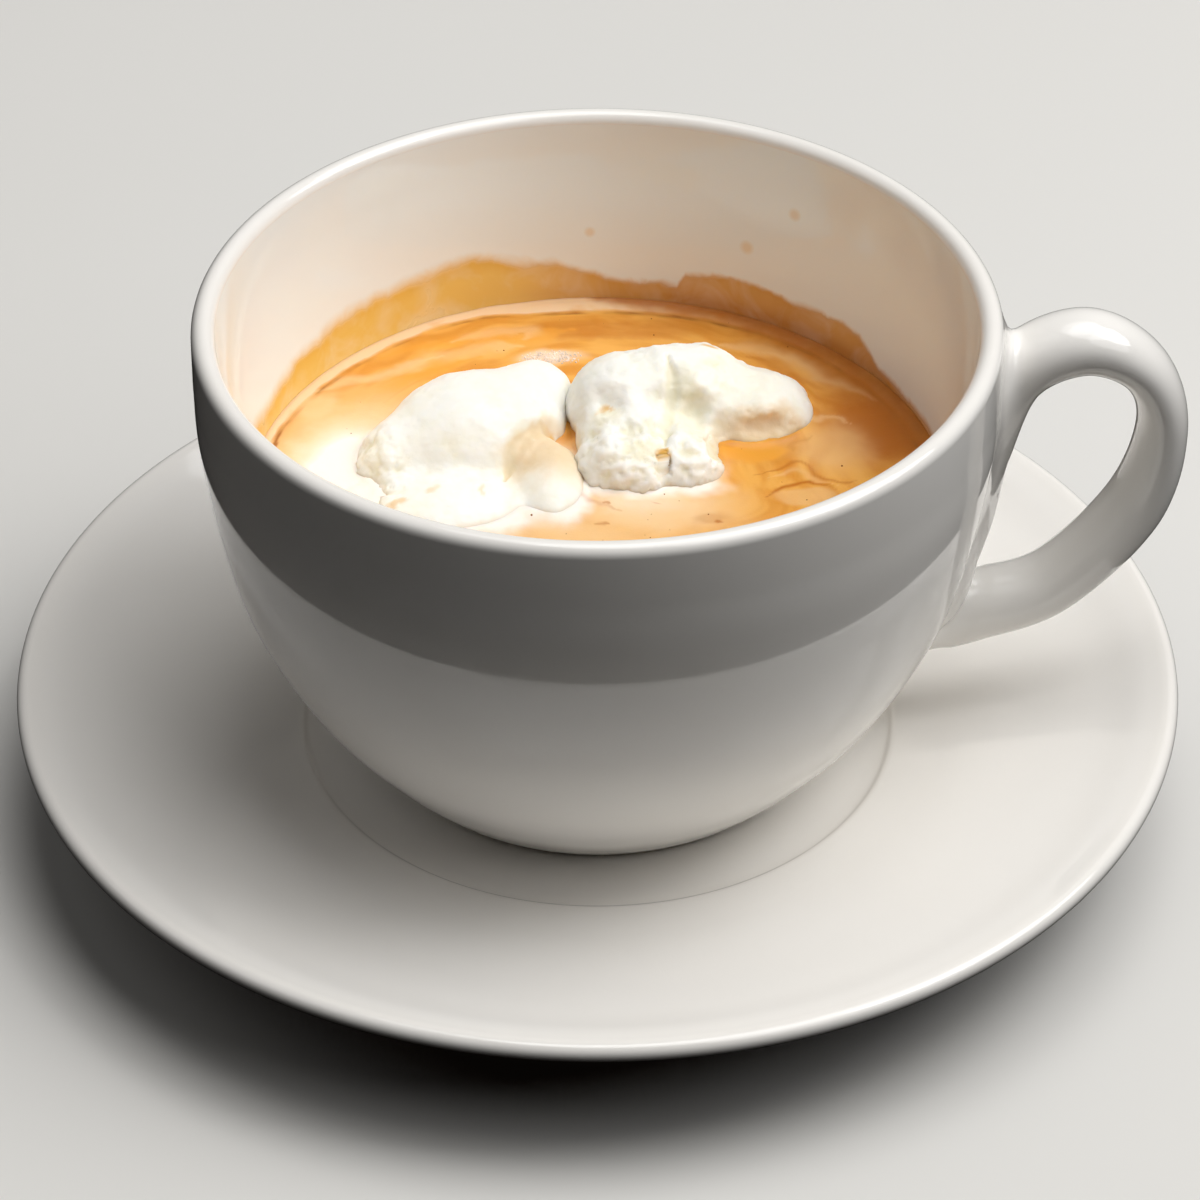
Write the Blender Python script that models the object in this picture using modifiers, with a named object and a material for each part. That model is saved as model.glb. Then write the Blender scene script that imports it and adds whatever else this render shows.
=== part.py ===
"""An affogato: coffee with two melting lumps of vanilla ice cream, in a porcelain cup on its saucer.

Metres, +Z up. The origin is the centre of the saucer's foot ring, on the surface that it stands on.
The cup is a thick cappuccino cup turned about Z, with its handle along +X.
"""

import math

import bmesh
import bpy
import numpy as np
from mathutils import Matrix, Vector, noise

MM = 0.001
GAP = 0.3 * MM  # clearance between pieces that rest on or in each other

# Saucer
SAUCER_RADIUS = 77.5 * MM
SAUCER_LIP = 1.3 * MM  # radius of the rounded lip
SAUCER_LIP_Z = 17.3 * MM  # height of the lip's centre
WELL_RADIUS = 40.0 * MM  # edge of the sunk well that holds the cup
WELL_EDGE_Z = 8.6 * MM
WELL_FLOOR_Z = 7.5 * MM
WELL_FLAT_RADIUS = 34.0 * MM
# Radius and height, in millimetres: up the wing from the well, and back down under it to the foot.
WING_TOP = ((48.0, 9.9), (58.0, 12.1), (67.0, 15.0), (72.4, 17.3), (75.1, 18.3))
WING_UNDERSIDE = ((72.0, 12.6), (64.0, 8.8), (55.0, 6.4), (49.0, 5.2))
SAUCER_FOOT_RADIUS = 44.0 * MM
SAUCER_FOOT_WIDTH = 3.4 * MM
SAUCER_FOOT_CHAMFER = 0.7 * MM
SAUCER_BASE_Z = 3.2 * MM  # underside inside the foot ring

# Cup
CUP_FOOT_Z = WELL_FLOOR_Z + GAP
CUP_FOOT_RADIUS = 27.6 * MM
CUP_FOOT_WIDTH = 3.2 * MM
CUP_FOOT_DEPTH = 2.0 * MM
CUP_FOOT_CHAMFER = 0.5 * MM
CUP_LIP = 1.5 * MM  # radius of the rounded lip
CUP_LIP_RADIUS = 49.8 * MM  # ring through the lip's centre
CUP_LIP_Z = 71.9 * MM
# Radius and height, in millimetres, down the outside of the bowl from below the lip to the foot.
CUP_OUTSIDE = (
    (51.4, 66.0), (51.2, 58.0), (49.6, 46.3), (46.9, 34.9), (41.5, 23.4), (35.6, 15.0), (31.2, 9.9)
)
# The same up the inside, from the middle of the floor to below the lip.
CUP_INSIDE = (
    (0.0, 14.2), (16.0, 14.8), (27.0, 17.4), (33.4, 21.4), (38.6, 27.2), (42.5, 34.6), (45.4, 46.0),
    (47.9, 66.0),
)

# Handle: a closed loop in the XZ plane, whose near side runs down the cup's wall as a web.
# X, Z and the half thickness in the loop's plane, in millimetres, round the loop from the web.
HANDLE_LOOP = (
    (48.9, 40.5, 3.2),
    (50.2, 51.0, 3.7),
    (54.0, 62.4, 3.9),
    (62.4, 66.5, 4.0),
    (70.3, 62.4, 3.3),
    (73.4, 53.3, 3.3),
    (70.6, 40.7, 4.0),
    (60.8, 28.9, 4.1),
    (51.2, 25.2, 4.7),
    (44.0, 24.4, 5.2),
    (46.2, 30.5, 3.4),
)
HANDLE_HALF_WIDTH = 5.2 * MM
HANDLE_FLARE_REACH = 3.2 * MM  # how far from the wall the handle starts to swell into it
HANDLE_FLARE = 1.6 * MM  # how much it has swollen at the wall
HANDLE_SINK = 1.9 * MM  # how deep the handle reaches into the wall

# Contents
LEVEL_Z = 46.0 * MM  # surface of the coffee
FOAM_INNER_RADIUS = 41.4 * MM  # where the foam that rings the surface starts to rise
FOAM_RADIUS = 43.2 * MM  # its crest
FOAM_HEIGHT = 0.5 * MM
LUMP_BOTTOM_Z = 40.0 * MM  # flat underside of the lumps, below the surface
LUMP_CLEARANCE = 1.2 * GAP
LUMP_VOXEL = 2.1 * MM
LUMP_BLEND = 2.2 * MM  # how softly the lobes of a lump run together
# Each lobe or hollow: centre, half axes and turn about Z, in millimetres and degrees.
LEFT_LOBES = {
    "mound": ((-15.9, 12.2, 44.4), (13.4, 11.0, 9.6), 32.0),
    "tip": ((-8.2, 19.2, 44.8), (5.6, 6.8, 7.0), -20.0),
    "flank": ((-26.1, 7.6, 43.4), (5.6, 7.6, 7.0), 0.0),
    "shoulder": ((-6.3, 2.3, 42.0), (5.8, 10.6, 7.2), 4.0),
    "apron": ((-19.4, -2.6, 42.0), (12.4, 8.4, 6.6), 0.0),
    "corner": ((-5.2, 19.4, 48.0), (2.6, 3.6, 2.9), 20.0),
}
# A nook under the corner of the left lump.
LEFT_HOLLOWS = {"nook": ((-3.6, 9.6, 49.0), (2.4, 2.0, 3.4), 20.0)}
RIGHT_LOBES = {
    "ball": ((3.7, 16.2, 47.4), (7.3, 7.4, 7.2), 0.0),
    "crest": ((14.0, 18.4, 46.4), (8.2, 8.6, 7.6), 0.0),
    "tail": ((21.8, 16.4, 44.2), (8.4, 8.6, 6.6), -24.0),
    "neck": ((9.2, 18.6, 47.4), (5.6, 6.2, 7.2), 0.0),
    "front": ((3.8, 9.2, 46.4), (6.2, 5.2, 5.6), 0.0),
    "core": ((8.4, 10.2, 43.6), (9.4, 8.0, 6.4), 0.0),
    "crumb": ((4.2, 3.4, 45.4), (7.4, 5.4, 5.9), -10.0),
    "ledge": ((12.2, 3.7, 45.0), (5.0, 5.0, 5.4), 0.0),
}
# Hollows scooped out of the right lump: two in the ball's near side, one between its crest and the ledge.
RIGHT_HOLLOWS = {
    "dent": ((2.2, 9.6, 54.2), (3.0, 2.2, 3.2), -30.0),
    "fold": ((4.2, 5.6, 52.4), (2.6, 1.4, 2.0), 20.0),
    "valley": ((13.6, 9.8, 51.2), (2.4, 3.0, 3.0), 10.0),
}
# Torn, crumbly surface: its grain and height, and the centre and reach of each patch in millimetres.
CRAG_SIZE = 3.2 * MM
CRAG_HEIGHT = 0.55 * MM
LEFT_CRAGS = ((-28.5, 3.0), 7.0)
RIGHT_CRAGS = ((6.5, 2.5), 11.0)

# Facets
SAUCER_SEGMENTS = 60
CUP_SEGMENTS = 56
HANDLE_RINGS = 40
HANDLE_SIDES = 12
LOBE_SEGMENTS = 20

PORCELAIN = (0.83, 0.82, 0.79)
CREMA = (0.72, 0.42, 0.16)
ICE_CREAM = (0.95, 0.94, 0.88)


def millimetres(points):
    """Points given in millimetres, in metres."""
    return [tuple(value * MM for value in point) for point in points]


def arc(centre, radius, start, end, steps):
    """Points on a circle in the radius-height plane, from one angle to another, in degrees."""
    angles = [math.radians(start + (end - start) * i / steps) for i in range(steps + 1)]
    return [(centre[0] + radius * math.cos(a), centre[1] + radius * math.sin(a)) for a in angles]


def between(before, a, b, after, t):
    """A point on the Catmull-Rom curve from a to b."""
    straight = 2 * a + (b - before) * t
    bend = (2 * before - 5 * a + 4 * b - after) * t**2 + (3 * a - before - 3 * b + after) * t**3
    return 0.5 * (straight + bend)


def smooth(points, steps):
    """A smooth curve through the points, with this many steps between neighbours."""
    rows = np.array(points)
    rows = np.vstack([2 * rows[0] - rows[1], rows, 2 * rows[-1] - rows[-2]])
    made = []
    for i in range(1, len(rows) - 2):
        made += [tuple(between(*rows[i - 1:i + 3], step / steps)) for step in range(steps)]
    return made + [tuple(rows[-2])]


def inset(curve, by):
    """A curve of (radius, height) points that runs outwards and up, moved towards its inner side."""
    rows = np.array(curve)
    along = np.gradient(rows, axis=0)
    inward = np.stack([-along[:, 1], along[:, 0]], axis=1)
    inward /= np.linalg.norm(inward, axis=1)[:, None]
    return [(max(r, 0.0), z) for r, z in rows + by * inward]


def radius_at(curve, z):
    """The radius of a curve of (radius, height) points at a height, held past its ends."""
    rows = sorted(curve, key=lambda point: point[1])
    return float(np.interp(z, [point[1] for point in rows], [point[0] for point in rows]))


def material(name, colour, roughness):
    """A Principled material of one colour."""
    made = bpy.data.materials.new(name)
    made.use_nodes = True
    shader = made.node_tree.nodes["Principled BSDF"]
    shader.inputs["Base Color"].default_value = (*colour, 1.0)
    shader.inputs["Roughness"].default_value = roughness
    return made


def dressed(made, finish):
    """The object with this material alone."""
    made.data.materials.clear()
    made.data.materials.append(finish)
    return made


def linked(name, mesh, collection):
    """A new object in the collection."""
    made = bpy.data.objects.new(name, mesh)
    collection.objects.link(made)
    return made


def applied(made):
    """Turns the object's modifiers into its mesh."""
    graph = bpy.context.evaluated_depsgraph_get()
    mesh = bpy.data.meshes.new_from_object(made.evaluated_get(graph))
    made.modifiers.clear()
    made.data = mesh
    return made


def boolean(made, other, operation, solver="EXACT"):
    """Joins or cuts with a closed object, applies it and removes the other one."""
    modifier = made.modifiers.new(operation.lower(), "BOOLEAN")
    modifier.operation = operation
    modifier.solver = solver
    modifier.object = other
    applied(made)
    bpy.data.objects.remove(other)
    return made


def turned(name, profile, segments, collection):
    """A solid turned about Z from a half section that starts and ends on the axis."""
    mesh = bpy.data.meshes.new(name)
    mesh.from_pydata([(r, 0.0, z) for r, z in profile], [(i, i + 1) for i in range(len(profile) - 1)], [])
    made = linked(name, mesh, collection)
    screw = made.modifiers.new("turn", "SCREW")
    screw.steps = segments
    screw.render_steps = segments
    screw.use_merge_vertices = True
    screw.merge_threshold = 0.01 * MM
    return applied(made)


def foot_ring(radius, width, chamfer, bottom_z, inner_z):
    """The half section of a foot ring, from its outer side under it to the base inside it."""
    outside, inside = radius + width / 2, radius - width / 2
    return [
        (outside, bottom_z + chamfer),
        (outside - chamfer, bottom_z),
        (inside + chamfer, bottom_z),
        (inside, bottom_z + chamfer),
        (inside - chamfer, inner_z),
        (0.0, inner_z),
    ]


def build_saucer(collection):
    """The saucer: a sunk well with a low step round it, a curved wing, a rounded lip and a foot ring."""
    well = [(0.0, WELL_FLOOR_Z), (WELL_FLAT_RADIUS, WELL_FLOOR_Z)]
    step = [
        (WELL_RADIUS - 2.2 * MM, WELL_FLOOR_Z + 0.15 * MM),
        (WELL_RADIUS - 0.9 * MM, WELL_FLOOR_Z + 0.5 * MM),
        (WELL_RADIUS, WELL_EDGE_Z),
        (WELL_RADIUS + 1.4 * MM, WELL_EDGE_Z + 0.25 * MM),
    ]
    wing = smooth(millimetres(WING_TOP), 2)
    lip = arc((SAUCER_RADIUS - SAUCER_LIP, SAUCER_LIP_Z), SAUCER_LIP, 100, -70, 6)
    foot = foot_ring(SAUCER_FOOT_RADIUS, SAUCER_FOOT_WIDTH, SAUCER_FOOT_CHAMFER, 0.0, SAUCER_BASE_Z)
    profile = well + step + wing + lip + millimetres(WING_UNDERSIDE) + foot
    saucer = turned("saucer", profile, SAUCER_SEGMENTS, collection)
    return dressed(saucer, material("saucer_porcelain", PORCELAIN, 0.15))


def cup_outer_curve():
    """The outside of the bowl from below the lip to the top of the foot."""
    return smooth(millimetres(CUP_OUTSIDE), 2)


def handle_rings():
    """Even places round the handle's loop, as x, z and half thickness, and the normals in its plane."""
    rows = np.array(millimetres(HANDLE_LOOP))
    count = len(rows)
    dense = []
    for i in range(count):
        corners = [rows[(i + k) % count] for k in range(-1, 3)]
        dense += [between(*corners, step / 12) for step in range(12)]
    dense = np.array(dense + [dense[0]])
    length = np.concatenate([[0.0], np.cumsum(np.linalg.norm(np.diff(dense[:, :2], axis=0), axis=1))])
    at = np.linspace(0.0, length[-1], HANDLE_RINGS, endpoint=False)
    places = np.stack([np.interp(at, length, dense[:, k]) for k in range(3)], axis=1)
    along = np.roll(places, -1, axis=0) - np.roll(places, 1, axis=0)
    normals = np.stack([-along[:, 1], along[:, 0]], axis=1)
    return places, normals / np.linalg.norm(normals, axis=1)[:, None]


def build_handle(collection):
    """The handle: an oval section lofted round its loop, which swells where it meets the wall."""
    wall = cup_outer_curve()
    shape = bmesh.new()
    rings = []
    for (x, z, thickness), (nx, nz) in zip(*handle_rings()):
        ring = []
        for k in range(HANDLE_SIDES):
            angle = 2 * math.pi * k / HANDLE_SIDES
            outward = Vector((nx * math.cos(angle), math.sin(angle), nz * math.cos(angle)))
            size = Vector((thickness, HANDLE_HALF_WIDTH, thickness))
            spot = Vector((x, 0.0, z)) + outward * size
            clear = math.hypot(spot.x, spot.y) - radius_at(wall, spot.z)
            near = 1.0 - min(max(clear / HANDLE_FLARE_REACH, 0.0), 1.0)
            ring.append(shape.verts.new(spot + outward * HANDLE_FLARE * near**2))
        rings.append(ring)
    for ring, following in zip(rings, rings[1:] + rings[:1]):
        for k in range(HANDLE_SIDES):
            beside = (k + 1) % HANDLE_SIDES
            shape.faces.new((ring[k], ring[beside], following[beside], following[k]))
    bmesh.ops.recalc_face_normals(shape, faces=shape.faces)
    mesh = bpy.data.meshes.new("handle")
    shape.to_mesh(mesh)
    shape.free()
    return linked("handle", mesh, collection)


def build_wall_core(collection):
    """A solid that ends inside the cup's wall, to trim off what the handle would show inside the cup."""
    wall = [(r - HANDLE_SINK, z) for r, z in cup_outer_curve()]
    above = CUP_LIP_Z + 10 * MM
    profile = [(0.0, above), (wall[0][0], above), *wall, (wall[-1][0], CUP_FOOT_Z), (0.0, CUP_FOOT_Z)]
    return turned("wall_core", profile, CUP_SEGMENTS, collection)


def build_cup(collection, cutters):
    """The cup: a thick bowl with a rounded lip and a foot ring, and its handle."""
    lip = arc((CUP_LIP_RADIUS, CUP_LIP_Z), CUP_LIP, 176, 0, 6)
    base_z = CUP_FOOT_Z + CUP_FOOT_DEPTH
    foot = foot_ring(CUP_FOOT_RADIUS, CUP_FOOT_WIDTH, CUP_FOOT_CHAMFER, CUP_FOOT_Z, base_z)
    profile = millimetres(CUP_INSIDE) + lip + cup_outer_curve() + foot
    cup = turned("cup", profile, CUP_SEGMENTS, collection)
    handle = build_handle(cutters)
    boolean(handle, build_wall_core(cutters), "DIFFERENCE")
    boolean(cup, handle, "UNION")
    return dressed(cup, material("cup_porcelain", PORCELAIN, 0.15))


def ellipsoid_distance(points, lobe):
    """A near distance from points to a lobe's surface, below zero inside it."""
    centre, axes, turn = lobe
    back = np.array(Matrix.Rotation(-math.radians(turn), 3, "Z"))
    local = (points / MM - centre) @ back.T
    reach = np.linalg.norm(local / axes, axis=1)
    slope = np.linalg.norm(local / np.square(axes), axis=1)
    return reach * (reach - 1.0) / np.maximum(slope, 1e-6) * MM


def soft_minimum(a, b, blend):
    """The smaller of two distances, rounded where they are alike."""
    share = np.clip(0.5 + 0.5 * (b - a) / blend, 0.0, 1.0)
    return b * (1 - share) + a * share - blend * share * (1 - share)


def lump_distance(points, lobes, hollows):
    """Distance to the lobes run together, less the hollows."""
    found = np.full(len(points), 1.0)
    for lobe in lobes.values():
        found = soft_minimum(found, ellipsoid_distance(points, lobe), LUMP_BLEND)
    for hollow in hollows.values():
        found = -soft_minimum(-found, ellipsoid_distance(points, hollow), LUMP_BLEND / 2)
    return found


def drawn_on(points, lobes, hollows, rounds=6):
    """The points, moved onto the lump's surface by Newton's method."""
    step = 0.02 * MM
    for _ in range(rounds):
        value = lump_distance(points, lobes, hollows)
        ahead = [lump_distance(points + step * axis, lobes, hollows) for axis in np.eye(3)]
        slope = (np.stack(ahead, axis=1) - value[:, None]) / step
        flatness = np.maximum(np.square(slope).sum(axis=1), 0.2)
        points = points - 0.8 * (value / flatness)[:, None] * slope
    return points


def crag_height(spot, crags):
    """How far the torn, crumbly surface stands out of the smooth one at a point."""
    (x, y), reach = crags
    near = 1.0 - math.hypot(spot.x / MM - x, spot.y / MM - y) / reach
    return CRAG_HEIGHT * min(1.0, max(0.0, near * 2.0)) * noise.fractal(spot / CRAG_SIZE, 0.9, 2.0, 3)


def displaced(mesh, height):
    """Moves each vertex along its normal by a function of its place."""
    normals = [vertex.normal.copy() for vertex in mesh.vertices]
    for vertex, normal in zip(mesh.vertices, normals):
        vertex.co += normal * height(vertex.co)


def cut_flat(mesh, z):
    """Cuts off what is below a height and closes the cut."""
    shape = bmesh.new()
    shape.from_mesh(mesh)
    whole = shape.verts[:] + shape.edges[:] + shape.faces[:]
    cut = bmesh.ops.bisect_plane(shape, geom=whole, plane_co=(0, 0, z), plane_no=(0, 0, -1), clear_outer=True)
    rim = [made for made in cut["geom_cut"] if isinstance(made, bmesh.types.BMEdge)]
    bmesh.ops.holes_fill(shape, edges=rim, sides=0)
    bmesh.ops.recalc_face_normals(shape, faces=shape.faces)
    shape.to_mesh(mesh)
    shape.free()


def build_lump(name, lobes, hollows, crags, collection):
    """One lump of ice cream: its lobes meshed as one skin, drawn onto their soft blend, then crumbled."""
    shape = bmesh.new()
    for centre, axes, turn in lobes.values():
        bmesh.ops.create_uvsphere(
            shape, u_segments=LOBE_SEGMENTS, v_segments=LOBE_SEGMENTS // 2, radius=1.0,
            matrix=Matrix.LocRotScale(
                Vector(centre) * MM, Matrix.Rotation(math.radians(turn), 3, "Z"), Vector(axes) * MM
            ),
        )
    mesh = bpy.data.meshes.new(name)
    shape.to_mesh(mesh)
    shape.free()
    lump = linked(name, mesh, collection)
    skin = lump.modifiers.new("skin", "REMESH")
    skin.mode = "VOXEL"
    skin.voxel_size = LUMP_VOXEL
    applied(lump)
    places = drawn_on(np.array([tuple(vertex.co) for vertex in lump.data.vertices]), lobes, hollows)
    lump.data.vertices.foreach_set("co", places.ravel())
    displaced(lump.data, lambda spot: crag_height(spot, crags))
    cut_flat(lump.data, LUMP_BOTTOM_Z)
    return dressed(lump, material(name + "_ice_cream", ICE_CREAM, 0.45))


def grown(lump, collection):
    """A copy of a lump that stands proud of it all over, to cut its place with."""
    made = linked("place_of_" + lump.name, lump.data.copy(), collection)
    displaced(made.data, lambda spot: LUMP_CLEARANCE)
    return made


def build_coffee(lumps, collection, cutters):
    """The drink: a solid up to its level, with the foam's low ring, clear of the wall and the lumps."""
    inside = inset(millimetres(CUP_INSIDE), GAP)
    wall_radius = radius_at(inside, LEVEL_Z)
    top = [(0.0, LEVEL_Z), (FOAM_INNER_RADIUS, LEVEL_Z), (FOAM_RADIUS, LEVEL_Z + FOAM_HEIGHT)]
    edge = [(wall_radius, LEVEL_Z + FOAM_HEIGHT / 2)]
    below = [point for point in reversed(inside) if point[1] < LEVEL_Z - 1 * MM]
    coffee = turned("coffee", top + edge + below, CUP_SEGMENTS, collection)
    for lump in lumps:
        boolean(coffee, grown(lump, cutters), "DIFFERENCE", "MANIFOLD")
    return dressed(coffee, material("crema", CREMA, 0.3))


def main():
    """Builds the affogato in an empty scene."""
    for old in list(bpy.data.objects):
        bpy.data.objects.remove(old)
    parts = bpy.data.collections.new("affogato")
    cutters = bpy.data.collections.new("cutters")
    bpy.context.scene.collection.children.link(parts)
    bpy.context.scene.collection.children.link(cutters)
    build_saucer(parts)
    build_cup(parts, cutters)
    left = build_lump("ice_cream_left", LEFT_LOBES, LEFT_HOLLOWS, LEFT_CRAGS, parts)
    right = build_lump("ice_cream_right", RIGHT_LOBES, RIGHT_HOLLOWS, RIGHT_CRAGS, parts)
    boolean(right, grown(left, cutters), "DIFFERENCE")
    build_coffee((left, right), parts, cutters)


main()
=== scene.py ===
"""An affogato: vanilla ice cream melting in coffee with golden crema, in a glazed cup on its saucer.

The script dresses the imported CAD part. Lengths are metres, +Z is up, and +X points to the cup's handle.
Sizes written as plain tuples in a class are millimetres, as its docstring says.
"""

from __future__ import annotations

import logging
import math
import sys
from collections.abc import Callable, Iterator, Mapping, Sequence
from contextlib import contextmanager
from dataclasses import dataclass, field
from enum import Enum
from functools import partial
from typing import Any

import bmesh
import bpy
import numpy as np
from mathutils import Matrix, Vector, noise
from mathutils.bvhtree import BVHTree

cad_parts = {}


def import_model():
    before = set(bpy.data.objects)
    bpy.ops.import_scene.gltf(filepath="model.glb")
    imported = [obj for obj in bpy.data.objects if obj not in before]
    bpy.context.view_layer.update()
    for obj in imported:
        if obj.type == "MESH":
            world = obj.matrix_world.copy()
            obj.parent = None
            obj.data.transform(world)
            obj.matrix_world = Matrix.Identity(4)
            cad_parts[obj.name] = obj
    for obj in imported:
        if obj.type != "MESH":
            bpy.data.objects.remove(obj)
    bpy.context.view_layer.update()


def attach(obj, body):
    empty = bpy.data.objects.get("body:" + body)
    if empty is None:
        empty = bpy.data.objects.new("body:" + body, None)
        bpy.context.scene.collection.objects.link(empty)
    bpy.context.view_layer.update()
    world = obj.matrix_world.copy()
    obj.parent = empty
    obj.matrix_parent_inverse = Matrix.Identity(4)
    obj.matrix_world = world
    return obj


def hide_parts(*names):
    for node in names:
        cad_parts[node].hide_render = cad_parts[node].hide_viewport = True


MM = 0.001
FULL_TURN = 2 * math.pi
LOG = logging.getLogger("affogato")

Point = tuple[float, float]
Place = tuple[float, float, float]
Section = list[Point]
Colour = tuple[float, float, float, float]
Adder = Callable[..., bpy.types.Node]
Sockets = Mapping[str, bpy.types.NodeSocket]


# Shared helpers


def linear(code: str) -> Colour:
    """Turns an sRGB hex colour into the linear colour that shaders take.

    Args:
        code: The colour as "#RRGGBB".

    Returns:
        Red, green, blue and an alpha of one.
    """
    parts = [int(code[i:i + 2], 16) / 255 for i in (1, 3, 5)]
    red, green, blue = (c / 12.92 if c <= 0.04045 else ((c + 0.055) / 1.055) ** 2.4 for c in parts)
    return red, green, blue, 1.0


def add_node(
    tree: bpy.types.NodeTree, kind: str, values: Mapping[str | int, Any] | None = None
) -> bpy.types.Node:
    """Adds a node with its settings and links.

    Args:
        tree: The node tree that it goes into.
        kind: The node's type; a shader node's goes without its prefix.
        values: What each property, or else each input by name or number, gets: a value, a socket that
            feeds it, or a node, which stands for its first output in use.

    Returns:
        The new node.
    """
    made = tree.nodes.new(kind if "Node" in kind else f"ShaderNode{kind}")
    for key, value in (values or {}).items():
        if isinstance(value, bpy.types.Node):
            value = next(socket for socket in value.outputs if socket.enabled)
        if isinstance(value, bpy.types.NodeSocket):
            tree.links.new(value, made.inputs[key])
        elif isinstance(key, str) and hasattr(made, key):
            setattr(made, key, value)
        else:
            made.inputs[key].default_value = value
    return made


def new_material(name: str) -> tuple[bpy.types.Material, Adder, bpy.types.NodeSocket]:
    """Makes an empty node material.

    Args:
        name: Name of the material.

    Returns:
        The material, what adds a node to it, and its object coordinates.
    """
    made = bpy.data.materials.new(name)
    made.use_nodes = True
    made.node_tree.nodes.clear()
    add = partial(add_node, made.node_tree)
    return made, add, add("TexCoord").outputs["Object"]


def new_group(name: str, output: str, inputs: dict[str, str]) -> tuple[bpy.types.NodeTree, Adder, Sockets]:
    """Makes a Geometry Nodes tree.

    Args:
        name: Name of the tree.
        output: Name of the geometry that it gives.
        inputs: What kind of socket each of its inputs is, by name.

    Returns:
        The tree, what adds a node to it, and its inputs.
    """
    tree = bpy.data.node_groups.new(name, "GeometryNodeTree")
    for key, kind in inputs.items():
        tree.interface.new_socket(key, in_out="INPUT", socket_type=f"NodeSocket{kind}")
    tree.interface.new_socket(output, in_out="OUTPUT", socket_type="NodeSocketGeometry")
    add = partial(add_node, tree)
    return tree, add, add("NodeGroupInput").outputs


def grow(made: bpy.types.Object, tree: bpy.types.NodeTree, values: dict[str, Any]) -> None:
    """Runs an object's mesh through a Geometry Nodes tree, and leaves a plain mesh.

    Args:
        made: The object.
        tree: The tree.
        values: What its inputs are set to, by name.
    """
    modifier = made.modifiers.new(tree.name, "NODES")
    modifier.node_group = tree
    for item in tree.interface.items_tree:
        if item.name in values:
            modifier[item.identifier] = values[item.name]
    plain(made)


def linked(name: str, data: bpy.types.ID) -> bpy.types.Object:
    """Puts a mesh, a light or a camera into the scene as an object at the origin.

    Args:
        name: Name of the object.
        data: Its mesh, light or camera.

    Returns:
        The new object.
    """
    made = bpy.data.objects.new(name, data)
    bpy.context.scene.collection.objects.link(made)
    return made


def plain(made: bpy.types.Object) -> bpy.types.Object:
    """Turns an object's modifiers into its mesh.

    Args:
        made: The object.

    Returns:
        The same object, without modifiers.
    """
    graph = bpy.context.evaluated_depsgraph_get()
    mesh = bpy.data.meshes.new_from_object(made.evaluated_get(graph))
    made.modifiers.clear()
    made.data = mesh
    return made


def combined(made: bpy.types.Object, other: bpy.types.Object, operation: str) -> bpy.types.Object:
    """Joins an object with a closed one, or cuts it, and removes the other one.

    Args:
        made: The object that is kept.
        other: The closed object that it is joined or cut with.
        operation: "UNION" or "DIFFERENCE".

    Returns:
        The object that is kept, as a plain mesh.
    """
    modifier = made.modifiers.new(operation.lower(), "BOOLEAN")
    modifier.operation = operation
    modifier.solver = "EXACT"
    modifier.object = other
    plain(made)
    bpy.data.objects.remove(other)
    return made


@contextmanager
def edited(mesh: bpy.types.Mesh) -> Iterator[bmesh.types.BMesh]:
    """Opens a mesh for editing, and keeps what was done to it.

    Args:
        mesh: The mesh.

    Yields:
        The mesh while it is edited.
    """
    shape = bmesh.new()
    shape.from_mesh(mesh)
    yield shape
    shape.to_mesh(mesh)
    shape.free()


def face_outwards(mesh: bpy.types.Mesh) -> None:
    """Points the faces of a closed mesh outwards and shades them smooth.

    Args:
        mesh: The mesh, which is changed.
    """
    with edited(mesh) as shape:
        bmesh.ops.recalc_face_normals(shape, faces=shape.faces)
    mesh.shade_smooth()


def places(mesh: bpy.types.Mesh, what: str = "co") -> np.ndarray:
    """The places of a mesh's vertices, or their normals, one row each.

    Args:
        mesh: The mesh.
        what: "co" for places or "normal" for normals.

    Returns:
        The rows.
    """
    found = np.empty(len(mesh.vertices) * 3)
    mesh.vertices.foreach_get(what, found)
    return found.reshape(-1, 3)


def put(mesh: bpy.types.Mesh, spots: np.ndarray) -> None:
    """Moves a mesh's vertices to these places."""
    mesh.vertices.foreach_set("co", spots.ravel())
    mesh.update()


def store(mesh: bpy.types.Mesh, name: str, values: np.ndarray) -> None:
    """Keeps one number a vertex as an attribute that a material reads.

    Args:
        mesh: The mesh.
        name: Name of the attribute.
        values: One number a vertex.
    """
    made = mesh.attributes.new(name, "FLOAT", "POINT")
    made.data.foreach_set("value", np.ascontiguousarray(values, dtype=np.float32))


def by_azimuth(table: Sequence[Point], spots: np.ndarray) -> np.ndarray:
    """The values that a table gives by azimuth in degrees, at places round the axis."""
    return np.interp(np.degrees(np.arctan2(spots[:, 1], spots[:, 0])) % 360, *zip(*table))


def fractal(spots: np.ndarray, size: float, roughness: float = 0.9, octaves: int = 3) -> np.ndarray:
    """Fractal noise at many places.

    Args:
        spots: The places, one row each.
        size: Size of the noise's largest grains, in the units of the places.
        roughness: How fast the finer grains fade; higher is smoother.
        octaves: How many sizes of grain there are.

    Returns:
        One value a place, about -1 to 1.
    """
    return np.array([noise.fractal(spot, roughness, 2.0, octaves) for spot in (spots / size).tolist()])


def nodules(spots: np.ndarray, size: float) -> np.ndarray:
    """Rounded grains, one a cell, at many places.

    Args:
        spots: The places, one row each.
        size: Size of a grain, in the units of the places.

    Returns:
        One value a place, from 1 on top of a grain down to 0 between grains.
    """
    found = np.array([noise.voronoi(spot)[0][0] for spot in (spots / size).tolist()])
    return np.clip(1.0 - found**2 * 1.6, 0.0, 1.0)


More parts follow.
